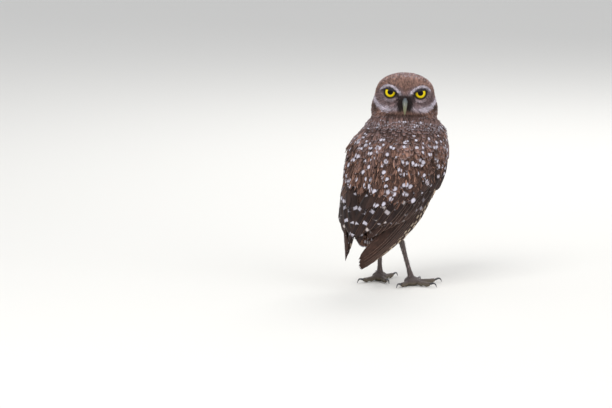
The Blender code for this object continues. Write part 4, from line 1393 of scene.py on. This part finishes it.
class OWL_OT_head_coat(bpy.types.Operator):
    """Small feathers of crown, nape and cheeks, and the fine ones of the face"""

    bl_idname = "owl.head_coat"
    bl_label = "Head feathers"

    def execute(self, context):
        plumage = context.scene.owl_plumage
        finish = feather_finish(plumage)
        rng = np.random.default_rng(plumage.seed)
        skin = hide["skin"]

        def crown(points):
            q = in_head(points)
            off_face = ~on_face(q) & ~under_lids(q)
            return (head_share(q) > 0.5) & off_face & (q[:, 2] > HEAD_FLOOR + 0.5)

        def face(points):
            q = in_head(points)
            return (head_share(q) > 0.5) & on_face(q)

        quills = Quills()
        roots = skin.scatter(1.12 * MM, crown, plumage.seed)
        q = in_head(roots)
        top = smooth(q[:, 2], 6.0, 14.0)
        marks = marks_of(len(roots), rng)
        marks[:, 0] = (rng.random(len(roots)) < 0.1) * 0.55 * (0.3 + 0.7 * top)
        marks[:, 2] = (rng.random(len(roots)) < 0.3) * 0.3
        keep = q[:, 2] > HEAD_FLOOR
        lay(quills, roots[keep], to_model(head_flow(q[keep])), 4.9, 1.55, 0.4, 1.0, 4, rng,
            marks[keep], fluff=0.35, thick=0.18)
        quills.make("coat_crown", finish, head_unwrap, plumage)

        quills = Quills()
        roots = skin.scatter(1.05 * MM, face, plumage.seed + 1)
        q = in_head(roots)
        brow = near(to_line(np.abs(q[:, 0]), q[:, 2], BROW_LINE), 2.2)
        rim = near(to_line(np.abs(q[:, 0]), q[:, 2], RIM_LINE), 2.4)
        lay(quills, roots, to_model(head_flow(q)), 3.6 + 0.8 * rim, 0.85 + 0.25 * rim, 0.3,
            0.75 + 0.5 * rim + 0.3 * brow, 4, rng, marks_of(len(roots), rng), fluff=0.22,
            thick=0.16)
        self.line(quills, rng, plumage, BROW_LINE, 300, 0.3, 3.2)
        self.line(quills, rng, plumage, RIM_LINE[1:5], 190, 1.3, 3.2)
        self.bristles(quills, rng, plumage)
        quills.make("coat_face", finish, head_unwrap, plumage)
        return {"FINISHED"}

    def bristles(self, quills, rng, plumage):
        """Small tufts between the brows, and dark bristles hanging over the bill's base."""
        tufts, bristles = [], []
        for side in (-1, 1):
            for _ in range(220):
                z = rng.uniform(-2.0, 6.5)
                spot = from_front(side * rng.uniform(0.0, 3.5 + 0.8 * max(0.0, z)), z)
                tufts.append((*spot, side * 0.25, 0.3, 1.0))
            for _ in range(130):
                t = rng.random()
                spot = from_front(side * rng.uniform(0.5, 8.0) * (1.0 - 0.35 * t), -1.8 - 11.0 * t)
                bristles.append((*spot, side * rng.uniform(-0.5, 0.9), -0.7, -1.0))
        tufts, bristles = np.array(tufts), np.array(bristles)
        lay(quills, tufts[:, :3], to_model(tufts[:, 3:]), 3.6, 0.95, 0.3, 0.8, 4, rng,
            marks_of(len(tufts), rng), fluff=0.2, thick=0.14)
        hues = np.array(plumage.black) * rng.uniform(0.7, 2.2, (len(bristles), 1))
        lay(quills, bristles[:, :3], to_model(bristles[:, 3:]), 5.5, 0.45, 0.2, 1.9, 4, rng,
            marks_of(len(bristles), rng), stiff=0.7, fluff=0.6, thick=0.12, hues=hues)

    def line(self, quills, rng, plumage, line, count, spread, long):
        """White feathers that lie along a line on each side of the face, standing out a little."""
        roots, flows = [], []
        corners = np.array(line)
        for side in (-1, 1):
            for _ in range(count):
                t = rng.random() ** 0.9 * (len(corners) - 1.001)
                k = int(t)
                x, z = corners[k] + (corners[k + 1] - corners[k]) * (t - k)
                z += rng.normal(0.0, spread)
                ahead = corners[min(k + 1, len(corners) - 1)] - corners[k]
                spot = from_front(side * x, z)
                if spot is not None:
                    roots.append(spot)
                    flows.append((side * ahead[0], 0.6, ahead[1] + 0.15))
        roots = np.array(roots)
        flows = to_model(np.array(flows))
        hues = np.array(plumage.white) * rng.uniform(0.8, 1.05, (len(roots), 1))
        lay(quills, roots, flows, long, 0.65, 0.2, 1.45, 4, rng, marks_of(len(roots), rng),
            fluff=0.25, thick=0.14, hues=hues)


def wing_span(b):
    """How far a body point lies across the folded wing: below 0 or above 1 is off it."""
    turn = body_turn(b)
    back, front = (read_off(edge, b[:, 2]) for edge in (WING_BACK, WING_FRONT))
    return (turn - back) / (front - back)


def on_leg(b):
    """True on the feathered part of a leg."""
    away = np.hypot(np.abs(b[:, 0]) - SHANK_AT[0], b[:, 1] - SHANK_AT[1])
    return (b[:, 2] < SHANK_TOP) & (away < SHANK_REACH)


class OWL_OT_body_coat(bpy.types.Operator):
    """Feathers of back, shoulders, breast, belly and shanks"""

    bl_idname = "owl.body_coat"
    bl_label = "Body feathers"

    def execute(self, context):
        plumage = context.scene.owl_plumage
        finish = feather_finish(plumage)
        rng = np.random.default_rng(plumage.seed + 20)
        skin = hide["skin"]

        def off_head(points):
            return head_share(in_head(points)) < 0.6

        def back(points):
            b = in_body(points)
            wing = (b[:, 2] < 150) & (wing_span(b) > -0.1)
            return off_head(points) & (body_turn(b) < 118) & (b[:, 2] > 84) & ~wing

        def neck(points):
            height = in_head(points)[:, 2] - HEAD_FLOOR
            return off_head(points) & (height > -9.0) & (height < 4.0)

        def front(points):
            b = in_body(points)
            return off_head(points) & (body_turn(b) >= 112) & (b[:, 2] > 60) & ~on_leg(b)

        def under(points):
            b = in_body(points)
            return (b[:, 2] < 88) & (body_turn(b) < 116) & ~on_leg(b)

        def shanks(points):
            return on_leg(in_body(points))

        quills = Quills(columns=5)
        roots = skin.scatter(3.3 * MM, back, plumage.seed + 2)
        b = in_body(roots)
        collar = smooth(b[:, 2], 152, 168)
        marks = marks_of(len(roots), rng, tip=0.15)
        marks[:, 0] = (rng.random(len(roots)) < 0.28 - 0.1 * collar) * 0.9
        lay(quills, roots, self.flow(b), 13.5 - 4.5 * collar, 7.6 - 2.4 * collar, 0.5,
            1.9 - 0.2 * collar, 6, rng, marks, fluff=0.5)
        roots = skin.scatter(1.7 * MM, neck, plumage.seed + 6)
        marks = marks_of(len(roots), rng, tip=0.3)
        marks[:, 0] = (rng.random(len(roots)) < 0.05) * 0.6
        lay(quills, roots, self.flow(in_body(roots)), 7.5, 3.0, 0.4, 1.5, 6, rng, marks, fluff=0.4)
        quills.make("coat_back", finish, body_unwrap, plumage)

        quills = Quills(columns=5)
        roots = skin.scatter(3.0 * MM, front, plumage.seed + 3)
        b = in_body(roots)
        marks = marks_of(len(roots), rng, tip=0.3)
        marks[:, 0] = (rng.random(len(roots)) < 0.6) * (1 - smooth(b[:, 2], 140, 120))
        lay(quills, roots, self.flow(b), 12.0, 6.5, 0.5, 1.7, 6, rng, marks, fluff=0.5,
            hues=self.breast_hues(b, plumage, rng))
        quills.make("coat_breast", finish, body_unwrap, plumage)

        quills = Quills()
        roots = skin.scatter(2.7 * MM, under, plumage.seed + 4)
        lay(quills, roots, self.flow(in_body(roots)), 11.0, 4.4, 0.5, 1.6, 5, rng,
            marks_of(len(roots), rng), fluff=0.5)
        quills.make("coat_rump", finish, body_unwrap, plumage)

        quills = Quills()
        roots = skin.scatter(1.5 * MM, shanks, plumage.seed + 5)
        hues = np.array(plumage.buff) * rng.uniform(0.75, 1.05, (len(roots), 1))
        lay(quills, roots, self.flow(in_body(roots)), 6.5, 1.7, 0.3, 1.0, 4, rng,
            marks_of(len(roots), rng), hues=hues)
        quills.make("coat_shanks", finish, body_unwrap, plumage)
        return {"FINISHED"}

    def flow(self, b):
        """Down the body and a little back, spreading from the neck."""
        sideways = 0.012 * b[:, 0] * smooth(b[:, 2], 140, 168)
        return np.stack([sideways, np.full(len(b), 0.22), np.full(len(b), -1.0)], 1)

    def breast_hues(self, b, plumage, rng):
        """Breast brown above, buff below, crossed by broken brown bars."""
        turn = np.radians(body_turn(b))
        wave = np.sin(b[:, 2] * 0.62 + 1.3 * np.sin(turn * 9.0) + rng.normal(0, 0.5, len(b)))
        low = smooth(b[:, 2], 146, 130) * smooth(b[:, 2], 76, 92)
        return over(body_colours(b, plumage), plumage.brown, 0.85 * low * smooth(wave, 0.1, 0.5))


def vane_rings(surface, root, tip, half_width, lift, bow, rings, tilt=VANE_TILT):
    """Ring centres, sides, normals and half widths of one vane on a surface."""
    steps, profile = STEPS[rings]

    def centre(s):
        height, angle = (a + (b - a) * s for a, b in zip(root, tip))
        return height, angle + bow * math.sin(math.pi * s), lift[0] + (lift[1] - lift[0]) * s

    centres, sides, normals = [], [], []
    for t in steps:
        height, angle, out = centre(t)
        middle = surface(height, angle, out)
        along = (surface(*centre(t + 0.01)) - surface(*centre(t - 0.01))).normalized()
        across = surface(height, angle + 2.0, out) - surface(height, angle - 2.0, out)
        outward = surface(height, angle, out + 1.0) - middle
        normal = along.cross(across).normalized()
        if normal.dot(outward) < 0:
            normal = -normal
        side = normal.cross(along)
        if side.dot(across) < 0:
            side = -side
        tilted = (side + normal * tilt).normalized()
        centres.append(middle)
        sides.append(tilted)
        normals.append(tilted.cross(along) if tilted.cross(along).dot(normal) > 0
                       else along.cross(tilted))
    return np.array(centres), np.array(sides), np.array(normals), half_width * MM * profile


def by_angle(line, angle):
    """Value of a line of (angle, value) pairs at an angle to either side."""
    return float(read_off(line, abs(angle)))


def cover_out(height, angle):
    """How far the small feathers lie out from the plain body, over back and folded wing."""
    back, front = wing_edges(min(height, WING_TOP))
    span = (abs(angle) - back) / (front - back)
    on_wing = smooth(span, -0.35, 0.06) * smooth(span, 1.12, 0.75) * smooth(height, 162.0, 130.0)
    return float(COVER_OUT + (3.8 + 1.0 * smooth(height, 96.0, 135.0)) * on_wing)


class OWL_OT_covers(bpy.types.Operator):
    """Rows of spotted feathers over the back, the shoulders and the upper wings"""

    bl_idname = "owl.covers"
    bl_label = "Mantle and coverts"

    def execute(self, context):
        plumage = context.scene.owl_plumage
        finish = feather_finish(plumage)
        rng = np.random.default_rng(plumage.seed + 80)
        made, dark, spotted = [], [], []
        for row in range(COVER_ROWS):
            share = row / (COVER_ROWS - 1)
            spacing, length = (a + (b - a) * share**1.5 for a, b in (COVER_SPACING, COVER_LENGTH))
            step = math.degrees(spacing / BODY_ROUND)
            count = int(2 * COVER_FLOOR[-1][0] / step)
            uneven = 4.5 if row == 0 else 2.4
            for k in range(count):
                angle = (k + 0.5 * (row % 2) - (count - 1) / 2 + rng.uniform(-0.3, 0.3)) * step
                if share > COVER_SHOULDER and abs(angle) > COVER_SHOULDER_END:
                    continue
                floor = by_angle(COVER_FLOOR, angle)
                height = floor + (COVER_TOP - floor) * share + rng.uniform(-uneven, uneven)
                lean = 0.09 * angle * smooth(abs(angle), 8.0, 40.0) + rng.uniform(-5.5, 5.5)
                root = (height + length * rng.uniform(0.85, 1.15), angle + lean)
                tip = (height, angle)
                lift = (cover_out(*root) - 1.1, cover_out(*tip) + 0.5 + rng.uniform(-0.25, 0.25))
                wide = 0.6 * spacing * rng.uniform(0.85, 1.15)
                tilt = rng.choice((-1.0, 1.0)) * 0.06
                made.append(vane_rings(self.surface, root, tip, wide, lift, 0.0, 8, tilt))
                # Painted shadow: the lowest covers towards the wing's front are blackened, standing
                # for the shade in the gap above the greater coverts
                dark.append(smooth(height - floor, 20.0, 6.0) * smooth(abs(angle), 54, 82))
                spotted.append((k + row // 2) % 2 == 0 or rng.random() < 0.15)
        quills = Quills(columns=11, cup=0.12)
        count = len(made)
        marks = marks_of(count, rng)
        marks[:, 0] = np.array(spotted) * rng.uniform(0.75, 1.0, count)
        marks[:, 2] = rng.random(count) ** 2 * 0.6
        draw = rng.random(count)
        tips = np.array([centres[-1] for centres, *_ in made])
        # Painted light over each feather's own random tone: upper rows lighter and lilac as if lit
        # from the sky above, lower rows darker as painted shade
        low = smooth(in_body(tips)[:, 2], 140.0, 112.0)
        hues = layered(plumage.brown, count,
                       (plumage.light, rng.uniform(0.1, 0.65, count) * (1 - 0.8 * low)),
                       (plumage.disc, rng.uniform(0.05, 0.7, count) * (1 - low)),
                       (plumage.dark, rng.uniform(0.0, 0.8, count) * (0.6 + 0.4 * low)),
                       (plumage.black, 0.75 * np.array(dark)))
        quills.add_vanes(made, marks, draw, hues, root=-1)
        quills.make("coat_mantle", finish, body_unwrap, plumage, COVER_PATCH, 2.0, 0.16)
        self.plumes(finish, plumage, rng)
        return {"FINISHED"}

    def plumes(self, finish, plumage, rng):
        """Loose narrow plumes that break up the rows."""
        made = []
        for _ in range(PLUMES):
            angle = rng.uniform(-1.0, 1.0) * COVER_FLOOR[-1][0]
            floor = by_angle(COVER_FLOOR, angle)
            height = floor + (COVER_TOP - 4.0 - floor) * rng.random()
            root = (height + rng.uniform(6.0, 10.0), angle)
            tip = (height, angle + rng.uniform(-4.0, 4.0) + 0.05 * angle)
            lift = (cover_out(*root) - 0.5, cover_out(*tip) + rng.uniform(0.4, 0.9))
            wide = rng.uniform(0.45, 0.9)
            made.append(vane_rings(self.surface, root, tip, wide, lift, 0.0, 5, 0.0))
        quills = Quills(cup=0.1)
        draw = rng.random(PLUMES)
        hues = layered(plumage.brown, PLUMES, (plumage.light, rng.random(PLUMES)),
                       (plumage.dark, (rng.random(PLUMES) < 0.45) * 0.9))
        quills.add_vanes(made, marks_of(PLUMES, rng), draw, hues, thick=0.12, root=-1, long=8.0)
        quills.make("coat_plumes", finish, body_unwrap, plumage)

    def surface(self, height, angle, out):
        """The body's plain shape, and near its top the skin, where the neck rises from it."""
        point = section_point(FOLD_ROWS, height, math.radians(angle), out)
        high = float(smooth(height, 146.0, 156.0))
        if high > 0.0:
            spot, normal = hide["skin"].nearest(point)
            over_skin = out - cover_out(height, angle) + COVER_OUT
            point = point.lerp(spot + normal * over_skin * MM, high)
        return point


def islands(roots, columns=10):
    """Places in the rows of a grid, one for each feather."""
    turn, rows = np.arange(len(roots)), math.ceil(len(roots) / columns)
    return np.stack([(turn % columns + 0.5) / columns, (turn // columns + 0.5) / rows], 1)


class OWL_OT_wings(bpy.types.Operator):
    """Folded wings, feather by feather in tiers"""

    bl_idname = "owl.wings"
    bl_label = "Wings"

    def execute(self, context):
        plumage = context.scene.owl_plumage
        finish = feather_finish(plumage)
        for name, side in SIDES.items():
            rng = np.random.default_rng(plumage.seed + 40)
            quills = Quills(columns=7, cup=0.1)
            for tier in TIERS:
                self.tier(quills, tier, name, side, rng, plumage)
            wing = quills.make("feathers_" + name, finish, islands, plumage,
                               WING_PATCH, 0.5, 0.04)
            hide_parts("wing_" + name)
        return {"FINISHED"}

    def tier(self, quills, tier, name, side, rng, plumage):
        """One tier of a wing, from its front feather to its back one."""
        title, count, roots, tips, half_width, out, bow = tier
        dark, black, spot, bar, tip_pale, edge = TIER_MARKS[title]
        if title == "tertial" and name == "right":
            over_other = RIGHT_TERTIALS_OUT
        else:
            over_other = 0.0

        def surface(height, angle, reach):
            return sided_point(height, math.radians(angle), reach, side)

        made = []
        for i in range(count):
            part = i / (count - 1)
            root, tip = ([a + (b - a) * part for a, b in zip(*ends)] for ends in (roots, tips))
            tip[0] += rng.uniform(-1.2, 1.2)
            if title == "primary":
                tip[0] -= PRIMARY_POINT * math.sin(math.pi * (0.08 + 0.74 * part)) ** 0.8
                tip[0] += LEFT_WING_SHORT if name == "left" else 0.0
            made.append(vane_rings(surface, root, tip, half_width * rng.uniform(0.95, 1.05),
                                   (out - 0.5, out + 0.4 + over_other), bow, 10))
        marks = marks_of(count, rng, spot, bar, tip_pale)
        marks[:, 0] *= rng.random(count) < 0.5
        hues = layered(plumage.brown, count, (plumage.dark, np.full(count, dark)),
                       (plumage.black, np.full(count, black)))
        edges = np.where(np.arange(count) < 3, edge, min(edge, 0.35))
        hues = np.concatenate([hues, edges[:, None]], 1)
        quills.add_vanes(made, marks, rng.random(count), hues)


class OWL_OT_tail(bpy.types.Operator):
    """Twelve tail feathers, the middle pair on top"""

    bl_idname = "owl.tail"
    bl_label = "Tail"

    def execute(self, context):
        plumage = context.scene.owl_plumage
        finish = feather_finish(plumage)
        rng = np.random.default_rng(plumage.seed + 60)
        along = TAIL_TIP - TAIL_ROOT
        normal = Vector((0.0, -along.z, along.y)).normalized()

        def surface(height, spread, out):
            droop = spread * spread / 90.0
            point = TAIL_TIP - along * height + Vector((spread, 0.0, 0.0)) + normal * (out - droop)
            return point * MM + SHIFT

        made = []
        for side in (-1, 1):
            for i in range(6):
                root = (0.92, side * (1.8 + 1.5 * i))
                tip = (0.0075 * i * i + rng.uniform(0.0, 0.015), side * (2.2 + 2.5 * i))
                out = 1.2 - 0.25 * i
                made.append(vane_rings(surface, root, tip, 4.6, (out, out), 0.0, 10))
        quills = Quills(columns=7, cup=0.1)
        count = len(made)
        marks = marks_of(count, rng, 0.0, 0.9, 1.0)
        quills.add_vanes(made, marks, rng.random(count),
                         layered(np.array(plumage.light) * 0.6, count), long=38.0)
        tail = quills.make("feathers_tail", finish,
                           lambda roots: islands(roots, count), plumage, TAIL_PATCH)
        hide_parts("tail")
        return {"FINISHED"}


class OWL_OT_stage(bpy.types.Operator):
    """Pale floor and backdrop, soft lights and the camera"""

    bl_idname = "owl.stage"
    bl_label = "Stage"

    def execute(self, context):
        stage = context.scene.owl_stage
        a, e = stage.azimuth, stage.elevation
        toward = Vector((math.sin(a) * math.cos(e), -math.cos(a) * math.cos(e), math.sin(e)))
        right = Vector((math.cos(a), math.sin(a), 0.0))
        up = toward.cross(right)
        aim = SHIFT + (right * VIEW_CENTRE[0] + up * VIEW_CENTRE[1]) * MM
        data = bpy.data.cameras.new("camera")
        data.sensor_width = SENSOR
        data.lens = SENSOR * stage.distance / (PHOTO_WIDTH * MM_A_PIXEL * MM)
        data.clip_end = 60.0
        camera = bpy.data.objects.new("camera", data)
        camera.location = aim + toward * stage.distance
        camera.rotation_euler = toward.to_track_quat("Z", "Y").to_euler()
        context.scene.collection.objects.link(camera)
        context.scene.camera = camera
        self.floor(stage)
        self.lights(context, toward, right)
        context.scene.view_settings.view_transform = "Standard"
        return {"FINISHED"}

    def floor(self, stage):
        paint = Paint("stage", Roughness=0.9)
        shade = paint.noise(paint.place(), 3.0) * 0.1
        paint.colour(paint.mix(shade, tuple(stage.floor), (0.7, 0.7, 0.68)))
        bm = bmesh.new()
        bmesh.ops.create_grid(bm, x_segments=1, y_segments=1, size=30.0)
        bmesh.ops.translate(bm, verts=bm.verts[:], vec=(0.0, 0.0, -0.0002))
        mesh = bpy.data.meshes.new("floor")
        bm.to_mesh(mesh)
        bm.free()
        mesh.materials.append(paint.material)
        floor = bpy.data.objects.new("floor", mesh)
        bpy.context.scene.collection.objects.link(floor)

    def lights(self, context, toward, right):
        world = bpy.data.worlds.new("soft")
        world.use_nodes = True
        shade = world.node_tree.nodes["Background"]
        shade.inputs["Color"].default_value = (0.93, 0.95, 1.0, 1.0)
        shade.inputs["Strength"].default_value = 0.75
        context.scene.world = world
        middle = SHIFT + Vector((0.0, 0.0, 0.12))
        for name, across, high, ahead, size, power in LIGHTS:
            data = bpy.data.lights.new(name, "AREA")
            data.size = size
            data.energy = power
            light = bpy.data.objects.new(name, data)
            light.location = middle + right * across + Vector((0, 0, high)) + toward * ahead
            light.rotation_euler = (light.location - middle).to_track_quat("Z", "Y").to_euler()
            context.scene.collection.objects.link(light)


class OWL_PT_panel(bpy.types.Panel):
    """The owl's operators in the order in which they run"""

    bl_label = "Burrowing owl"
    bl_idname = "OWL_PT_panel"
    bl_space_type = "VIEW_3D"
    bl_region_type = "UI"
    bl_category = "Owl"

    def draw(self, context):
        for operator in OPERATORS:
            self.layout.operator(operator.bl_idname)


OPERATORS = (
    OWL_OT_skin,
    OWL_OT_eyes,
    OWL_OT_bill,
    OWL_OT_feet,
    OWL_OT_head_coat,
    OWL_OT_body_coat,
    OWL_OT_covers,
    OWL_OT_wings,
    OWL_OT_tail,
    OWL_OT_stage,
)
SETTINGS = {
    "owl_plumage": OwlPlumage,
    "owl_head": OwlHead,
    "owl_feet": OwlFeet,
    "owl_stage": OwlStage,
}


def register():
    for kind in (*SETTINGS.values(), *OPERATORS, OWL_PT_panel):
        bpy.utils.register_class(kind)
    for name, kind in SETTINGS.items():
        setattr(bpy.types.Scene, name, PointerProperty(type=kind))


def unregister():
    for name in SETTINGS:
        delattr(bpy.types.Scene, name)
    for kind in (OWL_PT_panel, *reversed(OPERATORS), *SETTINGS.values()):
        bpy.utils.unregister_class(kind)


def main():
    register()
    for operator in OPERATORS:
        group, name = operator.bl_idname.split(".")
        getattr(getattr(bpy.ops, group), name)()


if __name__ == "__main__":
    main()
